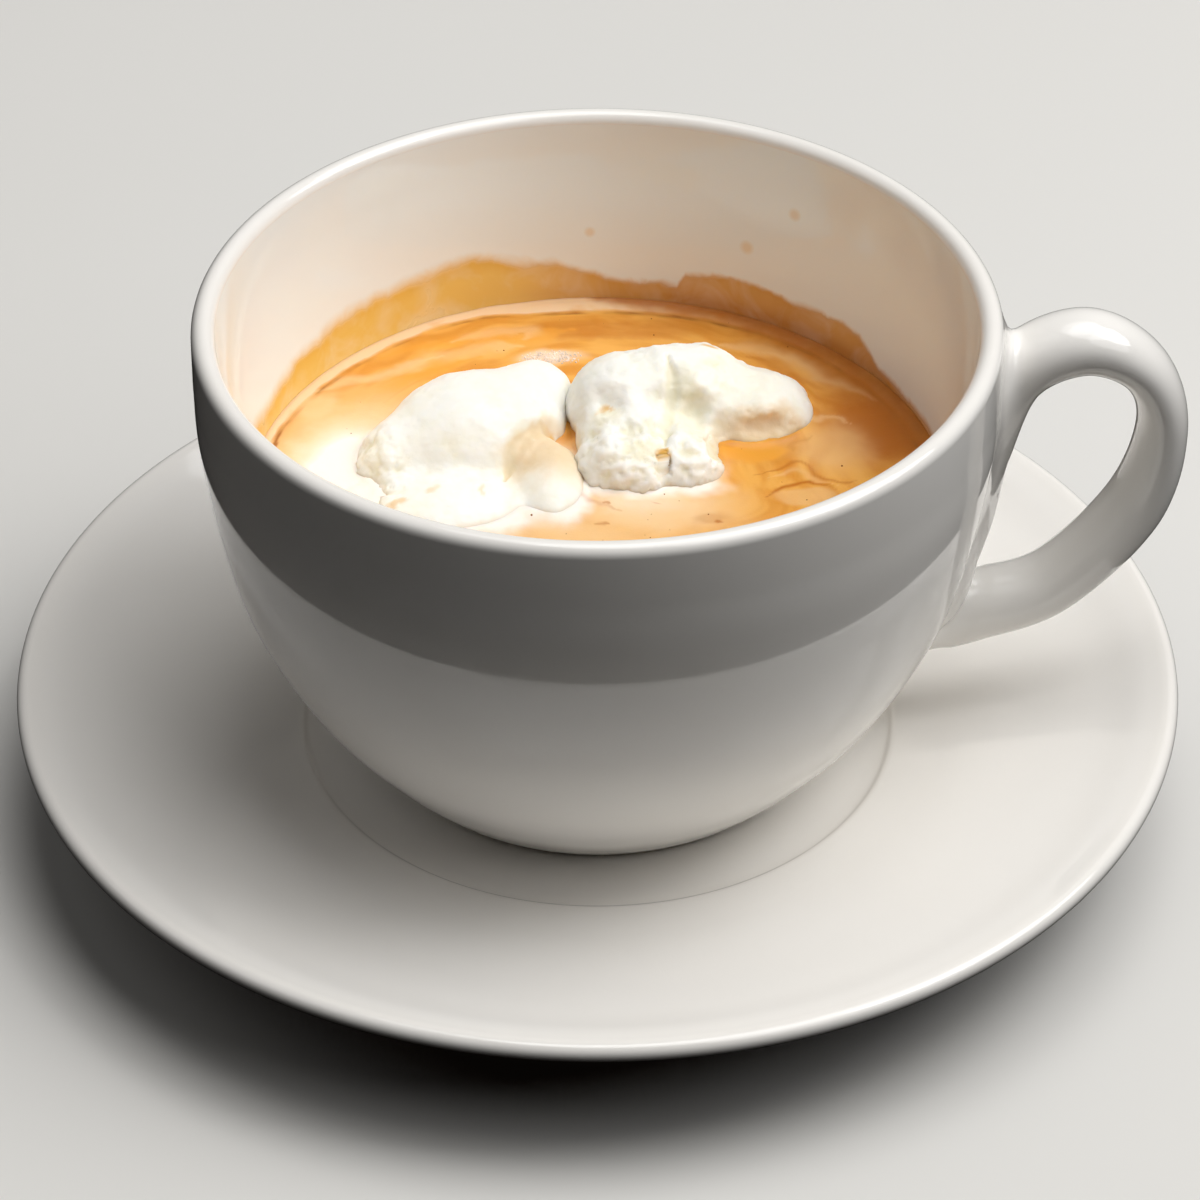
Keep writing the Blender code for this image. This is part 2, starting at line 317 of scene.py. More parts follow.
def strongest(marks: Sequence[Patch | Streak], spots: np.ndarray, least: float = 0.0) -> np.ndarray:
    """The strongest of several marks at places in millimetres.

    Args:
        marks: The marks.
        spots: The places, one row each.
        least: What there is outside them all.

    Returns:
        One strength a place.
    """
    found = np.full(len(spots), least)
    for mark in marks:
        found = np.maximum(found, mark.mask(spots))
    return found


def ramp(values: np.ndarray, low: float, high: float) -> np.ndarray:
    """A smooth step from 0 at low to 1 at high, which may be the lower one.

    Args:
        values: The values.
        low: Where the step is 0.
        high: Where it is 1.

    Returns:
        One share a value.
    """
    share = np.clip((values - low) / (high - low), 0.0, 1.0)
    return share * share * (3.0 - 2.0 * share)


def scaled(points: Sequence[Point]) -> Section:
    """Points given in millimetres, in metres."""
    return [(a * MM, b * MM) for a, b in points]


def arc(centre: Point, radius: float, start: float, end: float, steps: int) -> Section:
    """Points on a circle in the radius and height plane.

    Args:
        centre: Radius and height of its centre.
        radius: Its own radius.
        start: First angle, in degrees.
        end: Last angle, in degrees.
        steps: How many steps there are between them.

    Returns:
        The points, both ends included.
    """
    angles = [math.radians(start + (end - start) * i / steps) for i in range(steps + 1)]
    return [(centre[0] + radius * math.cos(a), centre[1] + radius * math.sin(a)) for a in angles]


def between(before: np.ndarray, a: np.ndarray, b: np.ndarray, after: np.ndarray, t: float) -> np.ndarray:
    """A point on the Catmull-Rom curve from a to b, at a share t of the way.

    Args:
        before: The point before a.
        a: Where the curve starts.
        b: Where it ends.
        after: The point after b.
        t: The share, from 0 to 1.

    Returns:
        The point.
    """
    straight = 2 * a + (b - before) * t
    bend = (2 * before - 5 * a + 4 * b - after) * t**2 + (3 * a - before - 3 * b + after) * t**3
    return 0.5 * (straight + bend)


def smooth(points: Sequence[Point], steps: int) -> Section:
    """A smooth curve through points.

    Args:
        points: The points that it passes through.
        steps: How many steps there are between two neighbours.

    Returns:
        The points of the curve, both ends included.
    """
    rows = np.array(points)
    rows = np.vstack([2 * rows[0] - rows[1], rows, 2 * rows[-1] - rows[-2]])
    made = []
    for i in range(1, len(rows) - 2):
        made += [tuple(between(*rows[i - 1:i + 3], step / steps)) for step in range(steps)]
    return made + [tuple(rows[-2])]


def radius_at(curve: Section, heights: np.ndarray | float) -> np.ndarray | float:
    """The radius of a curve at given heights, held past its ends.

    Args:
        curve: Radius and height of its points.
        heights: The heights.

    Returns:
        One radius a height.
    """
    rows = sorted(curve, key=lambda point: point[1])
    return np.interp(heights, [point[1] for point in rows], [point[0] for point in rows])


def foot_ring(radius: float, width: float, chamfer: float, bottom: float, base: float) -> Section:
    """The half section of a foot ring.

    Args:
        radius: Radius of the middle of the ring.
        width: Its width.
        chamfer: How much its edges are rounded.
        bottom: Height of the face that it stands on.
        base: Height of the underside inside it.

    Returns:
        Points from its outer side under it to the axis.
    """
    outside, inside = radius + width / 2, radius - width / 2
    outer = arc((outside - chamfer, bottom + chamfer), chamfer, 0, -90, 4)
    inner = arc((inside + chamfer, bottom + chamfer), chamfer, -90, -180, 4)
    hollow = arc((inside - chamfer, base - chamfer), chamfer, 0, 90, 4)
    return [*outer, *inner, *hollow, (inside * 0.6, base), (0.0, base)]


# Turned porcelain


@dataclass
class Lathe:
    """Geometry Nodes that turn a half section about Z into a closed shell."""

    segments: int = 256
    merge: float = 0.002 * MM

    def tree(self) -> bpy.types.NodeTree:
        """Builds the node tree, or finds the one built before.

        Returns:
            A tree whose geometry is a chain of points in the XZ plane.
        """
        if "lathe" in bpy.data.node_groups:
            return bpy.data.node_groups["lathe"]
        tree, add, given = new_group("lathe", "Shell", {
            "Section": "Geometry", "Segments": "Int", "Merge Distance": "Float", "Finish": "Material"
        })
        size = add("GeometryNodeAttributeDomainSize", {"component": "MESH", "Geometry": given["Section"]})
        rows = size.outputs["Point Count"]
        columns = add("Math", {"operation": "ADD", 0: given["Segments"], 1: 1.0})
        grid = add("GeometryNodeMeshGrid", {
            "Size X": 1.0, "Size Y": 1.0, "Vertices X": columns, "Vertices Y": rows
        })
        spot = add("SeparateXYZ", {0: add("GeometryNodeInputPosition")}).outputs
        across, up = (add("Math", {"operation": "ADD", 0: spot[axis], 1: 0.5}) for axis in "XY")
        angle = add("Math", {"operation": "MULTIPLY", 0: across, 1: FULL_TURN})
        last = add("Math", {"operation": "SUBTRACT", 0: rows, 1: 1.0})
        row = add("Math", {"operation": "MULTIPLY", 0: up, 1: last})
        point = add("GeometryNodeSampleIndex", {
            "data_type": "FLOAT_VECTOR", "Geometry": given["Section"],
            "Index": add("Math", {"operation": "ROUND", 0: row}), "Value": add("GeometryNodeInputPosition"),
        })
        section = add("SeparateXYZ", {0: point}).outputs
        ways = (add("Math", {"operation": way, 0: angle}) for way in ("COSINE", "SINE"))
        east, north = (add("Math", {"operation": "MULTIPLY", 0: section["X"], 1: way}) for way in ways)
        place = add("CombineXYZ", {"X": east, "Y": north, "Z": section["Z"]})
        turned = add("GeometryNodeSetPosition", {"Geometry": grid, "Position": place})
        merged = add("GeometryNodeMergeByDistance", {"Geometry": turned, "Distance": given["Merge Distance"]})
        real = add("GeometryNodeRealizeInstances", {"Geometry": merged})
        add("NodeGroupOutput", {
            0: add("GeometryNodeSetMaterial", {"Geometry": real, "Material": given["Finish"]})
        })
        return tree

    def turn(self, name: str, section: Section, finish: bpy.types.Material) -> bpy.types.Object:
        """Turns a half section into a closed shell.

        Args:
            name: Name of the object.
            section: Radius and height of points from the axis round to the axis.
            finish: Its material.

        Returns:
            The shell, as a plain mesh whose faces point outwards.
        """
        mesh = bpy.data.meshes.new(name)
        edges = [(i, i + 1) for i in range(len(section) - 1)]
        mesh.from_pydata([(r, 0.0, z) for r, z in section], edges, [])
        made = linked(name, mesh)
        grow(made, self.tree(), {"Segments": self.segments, "Merge Distance": self.merge, "Finish": finish})
        face_outwards(made.data)
        return made


@dataclass(frozen=True)
class CoffeeStain:
    """Dried crema on the inside of the cup, above the drink. Heights are millimetres by azimuth in degrees.

    It dries as a translucent film with a darker line along its upper edge.
    """

    golden: str = "#F3C75C"
    golden_edge: str = "#F0B93C"
    brown: str = "#F4C478"
    brown_edge: str = "#DB9C40"
    brown_low: str = "#CE8426"
    inner_radius: float = 48.3 * MM
    low: float = 44.0
    high: float = 56.0
    # Size of the waves along its upper edge, how far they reach, and size of its thin and thick patches.
    tear: float = 4.5 * MM
    tear_height: float = 2.2 * MM
    patch: float = 6 * MM
    # Depths under its upper edge over which the film fades in, and the darker line fades out upwards.
    film_fade: Point = (-1.7 * MM, 1.3 * MM)
    line_fade: Point = (2.8 * MM, 0.3 * MM)
    # Heights between which the brown deepens on the way down to the drink.
    low_band: Point = (50.6 * MM, 46.8 * MM)
    splash_strength: float = 0.34
    tops: tuple[Point, ...] = (
        (0, 46.9), (18, 46.7), (28, 46.9), (31, 47.5), (34, 49.1), (38, 50.2), (43.5, 50.6), (50, 50.3),
        (57, 50.4), (62, 51), (67, 50.9), (71, 50.6), (72.2, 50), (73.4, 48.2), (76, 48.4), (82, 48.7),
        (88, 49.8), (94, 51.2), (99, 51.8), (103, 52.5), (108, 53.5), (111, 53.4), (118, 52.9), (125, 52.3),
        (134, 52), (142, 51), (152, 49.9), (160, 49.1), (180, 48.4), (215, 49.6), (250, 48.3), (290, 49.2),
        (330, 47.6), (360, 46.9),
    )
    # Drops that ran off the spoon: azimuth in degrees, radius, height and size in millimetres.
    splashes: tuple[tuple[float, float, float, float], ...] = (
        (88.3, 46.8, 55.8, 0.9), (61.1, 46.9, 56.2, 1.2), (52.9, 47.6, 63.1, 1.1),
    )
    # How strong the brown is against the golden, from 0 to 1.
    browns: tuple[Point, ...] = (
        (0, 0.6), (24, 0.75), (40, 1.0), (70, 1.0), (76, 0.7), (90, 0.65), (104, 0.2), (140, 0.0), (180, 0.0),
        (270, 0.3), (360, 0.6),
    )


@dataclass(frozen=True)
class PorcelainGlaze:
    """White hard porcelain under a clear glaze: bright, glassy, very slightly uneven, bare on its foot.

    The glaze shows the room as sharp reflections. It runs thin over the lip, which is a touch warmer.
    """

    body: str = "#F8F5F0"
    warm: str = "#F4EFE7"
    # Painted light: the inside glaze is whiter and cooler than the outside, to offset the warm light that the
    # drink bounces into the cup.
    inside: str = "#FAFDFB"
    biscuit: str = "#CFC4B1"
    roughness: float = 0.05
    biscuit_roughness: float = 0.75
    ripple: float = 9.0 * MM
    ripple_height: float = 0.02 * MM
    cloud: float = 30 * MM
    # The bare foot: size of the grit along its edge, and the heights where the glaze ends.
    grit: float = 0.8 * MM
    glazed_above: float = 0.18 * MM
    bare_below: float = 0.08 * MM

    def build(
        self, name: str, foot_z: float, lip_z: float, stain: CoffeeStain | None = None
    ) -> bpy.types.Material:
        """Makes the material.

        Args:
            name: Name of the material.
            foot_z: Height of the face that the piece stands on.
            lip_z: Height of the top of the lip.
            stain: What has dried on the inside, if anything has.

        Returns:
            The material.
        """
        made, add, spot = new_material(name)
        axes = add("SeparateXYZ", {0: spot}).outputs
        cloud = add("TexNoise", {"Vector": spot, "Scale": 1 / self.cloud, "Detail": 3.0, "Roughness": 0.5})
        tone = add("MapRange", {"Value": cloud, "From Min": 0.35, "From Max": 0.75, "To Max": 0.22})
        lip = add("MapRange", {"Value": axes["Z"], "From Min": lip_z - MM, "From Max": lip_z, "To Max": 0.25})
        warmth = add("Math", {"operation": "ADD", "use_clamp": True, 0: tone, 1: lip})
        glaze = add("Mix", {"data_type": "RGBA", 0: warmth, 6: linear(self.body), 7: linear(self.warm)})
        grit = add("TexNoise", {"Vector": spot, "Scale": 1 / self.grit, "Detail": 2.0, "Roughness": 0.6})
        worn = add("Math", {"operation": "MULTIPLY_ADD", 0: grit, 1: 0.25 * MM, 2: -0.1 * MM})
        edge = add("Math", {"operation": "ADD", 0: axes["Z"], 1: worn})
        bare = add("MapRange", {
            "Value": edge, "From Min": foot_z + self.glazed_above, "From Max": foot_z + self.bare_below
        })
        colour = add("Mix", {"data_type": "RGBA", 0: bare, 6: glaze, 7: linear(self.biscuit)})
        rough = add("Mix", {0: bare, 2: self.roughness, 3: self.biscuit_roughness})
        if stain:
            colour, rough = self.stained(add, stain, spot, axes, colour, rough)
        wave = add("TexNoise", {"Vector": spot, "Scale": 1 / self.ripple, "Detail": 1.0, "Roughness": 0.4})
        bump = add("Bump", {"Height": wave, "Strength": 0.6, "Distance": self.ripple_height})
        shader = add("BsdfPrincipled", {
            "Base Color": colour, "Roughness": rough, "Normal": bump, "IOR": 1.54, "Specular IOR Level": 0.58
        })
        add("OutputMaterial", {"Surface": shader})
        return made

    def stained(
        self,
        add: Adder,
        stain: CoffeeStain,
        spot: bpy.types.NodeSocket,
        axes: Sockets,
        colour: bpy.types.Node,
        roughness: bpy.types.Node,
    ) -> tuple[bpy.types.Node, bpy.types.Node]:
        """Lays the dried crema over the glaze, and paints the inside above the drink a cooler, whiter colour
        that offsets the warm light the drink bounces onto it.

        Args:
            add: What adds a node to the material.
            stain: What has dried on.
            spot: The object coordinates.
            axes: The same, separated.
            colour: The glaze's colour.
            roughness: The glaze's roughness.

        Returns:
            The colour and the roughness with the stain on.
        """
        angle = add("Math", {"operation": "ARCTAN2", 0: axes["Y"], 1: axes["X"]})
        turns = add("Math", {"operation": "DIVIDE", 0: angle, 1: FULL_TURN})
        share = add("Math", {"operation": "FRACT", 0: turns})
        curves = []
        for points, low, high in ((stain.tops, stain.low, stain.high), (stain.browns, 0.0, 1.0)):
            curve = add("FloatCurve", {"Value": share})
            line = curve.mapping.curves[0]
            rows = [(azimuth / 360, (value - low) / (high - low)) for azimuth, value in points]
            line.points[0].location, line.points[-1].location = rows[0], rows[-1]
            for row in rows[1:-1]:
                line.points.new(*row)
            curve.mapping.update()
            curves.append(curve)
        top, brown = curves
        top = add("Math", {
            "operation": "MULTIPLY_ADD", 0: top, 1: (stain.high - stain.low) * MM, 2: stain.low * MM
        })
        above = add("Math", {"operation": "SUBTRACT", 0: top, 1: axes["Z"]})
        ragged = add("TexNoise", {
            "Vector": spot, "Scale": 1 / stain.tear, "Detail": 3.0, "Roughness": 0.55, "Distortion": 0.4
        })
        torn = add("Math", {
            "operation": "MULTIPLY_ADD", 0: ragged, 1: stain.tear_height, 2: -stain.tear_height / 2
        })
        depth = add("Math", {"operation": "ADD", 0: above, 1: torn})
        crisp = add("Math", {"operation": "MULTIPLY_ADD", 0: brown, 1: 1.4, 2: 1.0})
        film = add("MapRange", {
            "interpolation_type": "SMOOTHSTEP",
            "From Min": stain.film_fade[0], "From Max": stain.film_fade[1],
            "Value": add("Math", {"operation": "MULTIPLY", 0: depth, 1: crisp}),
        })
        flat = add("VectorMath", {"operation": "MULTIPLY", 0: spot, 1: (1.0, 1.0, 0.0)})
        radius = add("VectorMath", {"operation": "LENGTH", 0: flat})
        inside = add("Math", {"operation": "LESS_THAN", 0: radius, 1: stain.inner_radius})
        over_drink = add("Math", {"operation": "GREATER_THAN", 0: axes["Z"], 1: stain.low * MM})
        dried = add("Math", {"operation": "MULTIPLY", 0: inside, 1: over_drink})
        patch = add("TexNoise", {
            "Vector": spot, "Scale": 1 / stain.patch, "Detail": 3.0, "Roughness": 0.6, "Distortion": 0.8
        })
        uneven = add("MapRange", {"Value": patch, "From Min": 0.25, "From Max": 0.75, "To Min": 0.7})
        held = add("Math", {"operation": "MULTIPLY", 0: film, 1: dried})
        mask = add("Math", {"operation": "MULTIPLY", 0: held, 1: uneven})
        tint, edge = (
            add("Mix", {"data_type": "RGBA", 0: brown, 6: linear(left), 7: linear(right)})
            for left, right in ((stain.golden, stain.brown), (stain.golden_edge, stain.brown_edge))
        )
        rim = add("MapRange", {
            "Value": depth, "From Min": stain.line_fade[0], "From Max": stain.line_fade[1], "To Max": 0.9
        })
        deep = add("Mix", {"data_type": "RGBA", 0: rim, 6: tint, 7: edge})
        low = add("MapRange", {
            "Value": axes["Z"], "From Min": stain.low_band[0], "From Max": stain.low_band[1], "To Max": 0.9
        })
        thickest = add("Math", {"operation": "MULTIPLY", 0: low, 1: brown})
        deep = add("Mix", {"data_type": "RGBA", 0: thickest, 6: deep, 7: linear(stain.brown_low)})
        drops = add("Value")
        for azimuth, away, height, size in stain.splashes:
            turned = math.radians(azimuth)
            centre = (away * math.cos(turned) * MM, away * math.sin(turned) * MM, height * MM)
            gap = add("VectorMath", {"operation": "DISTANCE", 0: spot, 1: centre})
            drop = add("MapRange", {
                "Value": gap, "From Min": size * MM, "From Max": 0.4 * size * MM,
                "To Max": stain.splash_strength,
            })
            drops = add("Math", {"operation": "MAXIMUM", 0: drops, 1: drop})
        thick = add("MapRange", {"Value": mask, "From Max": 0.9, "To Max": 0.97})
        # Painted light: above the drink, the inside takes the cooler, whiter inside colour in place of the
        # glaze.
        clean = add("Mix", {"data_type": "RGBA", 0: dried, 6: colour, 7: linear(self.inside)})
        over = add("Mix", {"data_type": "RGBA", 0: thick, 6: clean, 7: deep})
        spotted = add("Mix", {"data_type": "RGBA", 0: drops, 6: over, 7: linear(stain.golden_edge)})
        return spotted, add("Mix", {0: mask, 2: roughness, 3: 0.35})


@dataclass
class Saucer:
    """The saucer: a sunk well with a low step round it, a curved wing, a rounded lip and a foot ring."""

    radius: float = 77.5 * MM
    lip: float = 1.3 * MM
    lip_z: float = 17.3 * MM
    # Radius and height in millimetres from the well's floor over its step and up the wing.
    well: tuple[Point, ...] = ((0.0, 7.5), (12.0, 7.5), (24.0, 7.5), (32.0, 7.5))
    step: tuple[Point, ...] = (
        (34.0, 7.5), (36.4, 7.52), (37.8, 7.65), (39.1, 8.0), (40.0, 8.6), (41.4, 8.85), (44.5, 9.25),
        (48.0, 9.9), (58.0, 12.1), (67.0, 15.0), (72.4, 17.3), (75.1, 18.3),
    )
    underside: tuple[Point, ...] = (
        (76.6, 16.0), (72.0, 12.6), (64.0, 8.8), (55.0, 6.4), (49.0, 5.2), (46.4, 3.9),
    )
    foot_radius: float = 44.0 * MM
    foot_width: float = 3.4 * MM
    foot_chamfer: float = 0.7 * MM
    base_z: float = 3.2 * MM
    glaze: PorcelainGlaze = PorcelainGlaze()

    def section(self) -> Section:
        """The half section, from the middle of the well round to the middle of the underside.

        Returns:
            Radius and height of its points.
        """
        lip = arc((self.radius - self.lip, self.lip_z), self.lip, 100, -70, 18)
        foot = foot_ring(self.foot_radius, self.foot_width, self.foot_chamfer, 0.0, self.base_z)
        top = scaled(self.well) + smooth(scaled(self.step), 8)
        return top + lip + smooth(scaled(self.underside), 6)[4:] + foot

    def build(self) -> list[bpy.types.Object]:
        """Builds and dresses the saucer.

        Returns:
            Its one piece.
        """
        finish = self.glaze.build("saucer_glazed_porcelain", 0.0, self.lip_z + self.lip)
        made = Lathe().turn("porcelain_saucer", self.section(), finish)
        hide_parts("saucer")
        return [made]


@dataclass
class Cup:
    """The cup: a thick bowl with a rounded lip and a foot ring, and a loop handle drawn into its wall.

    Curves are radius and height in millimetres; the handle's loop is x, z and half thickness.
    """

    outside: tuple[Point, ...] = (
        (51.4, 66.0), (51.2, 58.0), (49.6, 46.3), (46.9, 34.9), (41.5, 23.4), (35.6, 15.0), (31.2, 9.9)
    )
    inside: tuple[Point, ...] = (
        (0.0, 14.2), (16.0, 14.8), (27.0, 17.4), (33.4, 21.4), (38.6, 27.2), (42.5, 34.6), (45.4, 46.0),
        (47.9, 66.0),
    )
    lip: float = 1.5 * MM
    lip_radius: float = 49.8 * MM
    lip_z: float = 71.9 * MM
    foot_z: float = 7.8 * MM
    foot_radius: float = 27.6 * MM
    foot_width: float = 3.2 * MM
    foot_depth: float = 2.0 * MM
    foot_chamfer: float = 0.5 * MM
    loop: tuple[Place, ...] = (
        (48.9, 40.5, 3.2), (50.2, 51.0, 3.7), (54.0, 62.4, 3.9), (62.4, 66.5, 4.0), (70.3, 62.4, 3.3),
        (73.4, 53.3, 3.3), (70.6, 40.7, 4.0), (60.8, 28.9, 4.1), (51.2, 25.2, 4.7), (44.0, 24.4, 5.2),
        (46.2, 30.5, 3.4),
    )
    half_width: float = 5.2 * MM
    flare_reach: float = 3.2 * MM
    flare: float = 1.2 * MM
    fillet: float = 3.4 * MM
    # The lower joint, below this height, runs out longer.
    low_joint_z: float = 33.0 * MM
    low_joint_blend: float = 3 * MM
    low_flare_reach: float = 8.0 * MM
    low_flare: float = 1.2 * MM
    low_fillet: float = 8.0 * MM
    evening: int = 36
    least_lift: float = 0.01 * MM
    # The joint's surroundings: how far along X they start, how far they reach along Y, and under the wall.
    joint_x: float = 32 * MM
    joint_y: float = 18 * MM
    joint_depth: float = 0.2 * MM
    sink: float = 1.9 * MM
    rings: int = 210
    sides: int = 44
    glaze: PorcelainGlaze = PorcelainGlaze()
    stain: CoffeeStain = CoffeeStain()

    def wall(self) -> Section:
        """The outside of the bowl from below the lip to the top of the foot."""
        return smooth(scaled(self.outside), 10)

    def section(self) -> Section:
        """The half section, from the middle of the floor over the lip and round to the underside.

        Returns:
            Radius and height of its points.
        """
        lip = arc((self.lip_radius, self.lip_z), self.lip, 176, 0, 16)
        foot = foot_ring(
            self.foot_radius, self.foot_width, self.foot_chamfer, self.foot_z, self.foot_z + self.foot_depth
        )
        return smooth(scaled(self.inside), 10) + lip + self.wall() + foot

    def handle_places(self) -> tuple[np.ndarray, np.ndarray]:
        """Even places round the handle's loop.

        Returns:
            The x, z and half thickness of each place, and its normal in the loop's plane.
        """
        rows = np.array(self.loop) * MM
        count = len(rows)
        dense = []
        for i in range(count):
            corners = [rows[(i + k) % count] for k in range(-1, 3)]
            dense += [between(*corners, step / 30) for step in range(30)]
        dense = np.array(dense + [dense[0]])
        steps = np.linalg.norm(np.diff(dense[:, :2], axis=0), axis=1)
        length = np.concatenate([[0.0], np.cumsum(steps)])
        at = np.linspace(0.0, length[-1], self.rings, endpoint=False)
        found = np.stack([np.interp(at, length, dense[:, k]) for k in range(3)], axis=1)
        along = np.roll(found, -1, axis=0) - np.roll(found, 1, axis=0)
        facing = np.stack([-along[:, 1], along[:, 0]], axis=1)
        return found, facing / np.linalg.norm(facing, axis=1)[:, None]

    def lowness(self, heights: np.ndarray) -> np.ndarray:
        """How far heights belong to the lower joint, from 0 to 1.

        Args:
            heights: The heights, in metres.

        Returns:
            One share a height.
        """
        return ramp(
            heights, self.low_joint_z + self.low_joint_blend, self.low_joint_z - self.low_joint_blend
        )

    def handle(self) -> bpy.types.Object:
        """The handle: an oval section lofted round its loop, which swells where it meets the wall.

        Returns:
            The handle on its own, closed.
        """
        found, facing = self.handle_places()
        angles = FULL_TURN * np.arange(self.sides) / self.sides
        across, aside = np.cos(angles), np.sin(angles)
        outward = np.stack([
            facing[:, :1] * across, np.broadcast_to(aside, (len(found), self.sides)), facing[:, 1:] * across
        ], axis=2)
        reach = np.stack([found[:, 2], np.full(len(found), self.half_width), found[:, 2]], axis=1)
        middle = np.stack([found[:, 0], np.zeros(len(found)), found[:, 1]], axis=1)
        spots = middle[:, None, :] + outward * reach[:, None, :]
        clear = np.hypot(spots[..., 0], spots[..., 1]) - radius_at(self.wall(), spots[..., 2])
        low = self.lowness(spots[..., 2])
        reach = self.flare_reach + (self.low_flare_reach - self.flare_reach) * low
        swell = self.flare + (self.low_flare - self.flare) * low
        near = 1.0 - np.clip(clear / reach, 0.0, 1.0)
        spots = spots + outward * (swell * near**2)[..., None]
        faces = []
        for i in range(self.rings):
            j = (i + 1) % self.rings
            for k in range(self.sides):
                m = (k + 1) % self.sides
                faces.append((i * self.sides + k, i * self.sides + m, j * self.sides + m, j * self.sides + k))
        mesh = bpy.data.meshes.new("handle")
        mesh.from_pydata(spots.reshape(-1, 3).tolist(), [], faces)
        face_outwards(mesh)
        return linked("handle", mesh)

    def core(self, finish: bpy.types.Material) -> bpy.types.Object:
        """A solid that ends inside the wall, to trim off what the handle would show inside the cup.

        Args:
            finish: The cup's material.

        Returns:
            The solid.
        """
        wall = [(r - self.sink, z) for r, z in self.wall()]
        above = self.lip_z + 10 * MM
        section = [(0.0, above), (wall[0][0], above), *wall, (wall[-1][0], self.foot_z), (0.0, self.foot_z)]
        return Lathe(segments=128).turn("core", section, finish)

    def drawn_in(self, mesh: bpy.types.Mesh, handle: BVHTree) -> None:
        """Rounds the crease where the handle meets the wall, as the glaze fills it.

        Args:
            mesh: The joined mesh.
            handle: The handle on its own.
        """
        spots = places(mesh)
        clear = np.hypot(spots[:, 0], spots[:, 1]) - radius_at(self.wall(), spots[:, 2])
        near = (spots[:, 0] > self.joint_x) & (np.abs(spots[:, 1]) < self.joint_y)
        close = np.flatnonzero(near & (clear > -self.joint_depth))
        reaches = self.fillet + (self.low_fillet - self.fillet) * self.lowness(spots[:, 2])
        lift = np.zeros(len(spots))
        for i in close:
            gap = handle.find_nearest(Vector(spots[i]))[3]
            other = max(gap, clear[i])
            lift[i] = 0.25 * reaches[i] * max(0.0, 1.0 - other / reaches[i]) ** 2
        put(mesh, spots + places(mesh, "normal") * lift[:, None])
        every_way = {f"use_axis_{axis}": True for axis in "xyz"}
        with edited(mesh) as shape:
            shape.verts.ensure_lookup_table()
            moved = [shape.verts[i] for i in np.flatnonzero(lift > self.least_lift)]
            for _ in range(self.evening):
                bmesh.ops.smooth_vert(shape, verts=moved, factor=0.5, **every_way)

    def build(self) -> list[bpy.types.Object]:
        """Builds and dresses the cup.

        Returns:
            Its one piece.
        """
        finish = self.glaze.build("cup_glazed_porcelain", self.foot_z, self.lip_z + self.lip, self.stain)
        made = Lathe().turn("porcelain_cup", self.section(), finish)
        handle = self.handle()
        tree = BVHTree.FromObject(handle, bpy.context.evaluated_depsgraph_get())
        handle.data.materials.append(finish)
        combined(handle, self.core(finish), "DIFFERENCE")
        combined(made, handle, "UNION")
        self.drawn_in(made.data, tree)
        made.data.materials.clear()
        made.data.materials.append(finish)
        made.data.shade_smooth()
        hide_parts("cup")
        return [made]


# Contents


@dataclass(frozen=True)
class Lobe:
    """One rounded lobe of a lump: centre and half axes in millimetres, and turn about Z in degrees."""

    centre: Place
    axes: Place
    turn: float = 0.0

    def distance(self, spots: np.ndarray) -> np.ndarray:
        """A near distance from places to its surface, below zero inside it.

        Args:
            spots: The places, in metres.

        Returns:
            One distance a place, in metres.
        """
        back = np.array(Matrix.Rotation(-math.radians(self.turn), 3, "Z"))
        local = (spots / MM - self.centre) @ back.T
        reach = np.linalg.norm(local / self.axes, axis=1)
        slope = np.linalg.norm(local / np.square(self.axes), axis=1)
        return reach * (reach - 1.0) / np.maximum(slope, 1e-6) * MM

    def matrix(self) -> Matrix:
        """Where a ball of radius one goes to become the lobe."""
        turned = Matrix.Rotation(math.radians(self.turn), 3, "Z")
        return Matrix.LocRotScale(Vector(self.centre) * MM, turned, Vector(self.axes) * MM)


@dataclass(frozen=True)
class Patch:
    """A soft spot on a surface seen from above: centre and half axes in millimetres, and turn in degrees."""

    centre: Point
    axes: Point
    turn: float = 0.0
    strength: float = 1.0
    softness: float = 0.6

    def mask(self, spots: np.ndarray) -> np.ndarray:
        """Its strength at places whose first two columns are millimetres.

        Args:
            spots: The places, one row each.

        Returns:
            One strength a place.
        """
        angle = math.radians(self.turn)
        x, y = spots[:, 0] - self.centre[0], spots[:, 1] - self.centre[1]
        along = (x * math.cos(angle) + y * math.sin(angle)) / self.axes[0]
        aside = (-x * math.sin(angle) + y * math.cos(angle)) / self.axes[1]
        return self.strength * ramp(np.hypot(along, aside), 1.0 + self.softness / 2, 1.0 - self.softness / 2)


@dataclass(frozen=True)
class Streak:
    """A soft line on the drink seen from above: the points it passes, and its width, in millimetres."""

    path: tuple[Point, ...]
    width: float
    strength: float = 1.0

    def mask(self, spots: np.ndarray) -> np.ndarray:
        """Its strength at places whose first two columns are millimetres.

        Args:
            spots: The places, one row each.

        Returns:
            One strength a place.
        """
        line = np.array(smooth(self.path, 6))
        nearest = np.full(len(spots), 1e3)
        share = np.zeros(len(spots))
        for i, (a, b) in enumerate(zip(line, line[1:])):
            along = b - a
            at = np.clip(((spots[:, :2] - a) @ along) / (along @ along), 0.0, 1.0)
            gap = np.linalg.norm(spots[:, :2] - (a + at[:, None] * along), axis=1)
            closer = gap < nearest
            share[closer] = (i + at[closer]) / (len(line) - 1)
            nearest = np.minimum(nearest, gap)
        taper = np.clip(np.minimum(share, 1 - share) * 5, 0.25, 1.0)
        return self.strength * ramp(nearest, self.width * taper * 1.35, self.width * taper * 0.1)


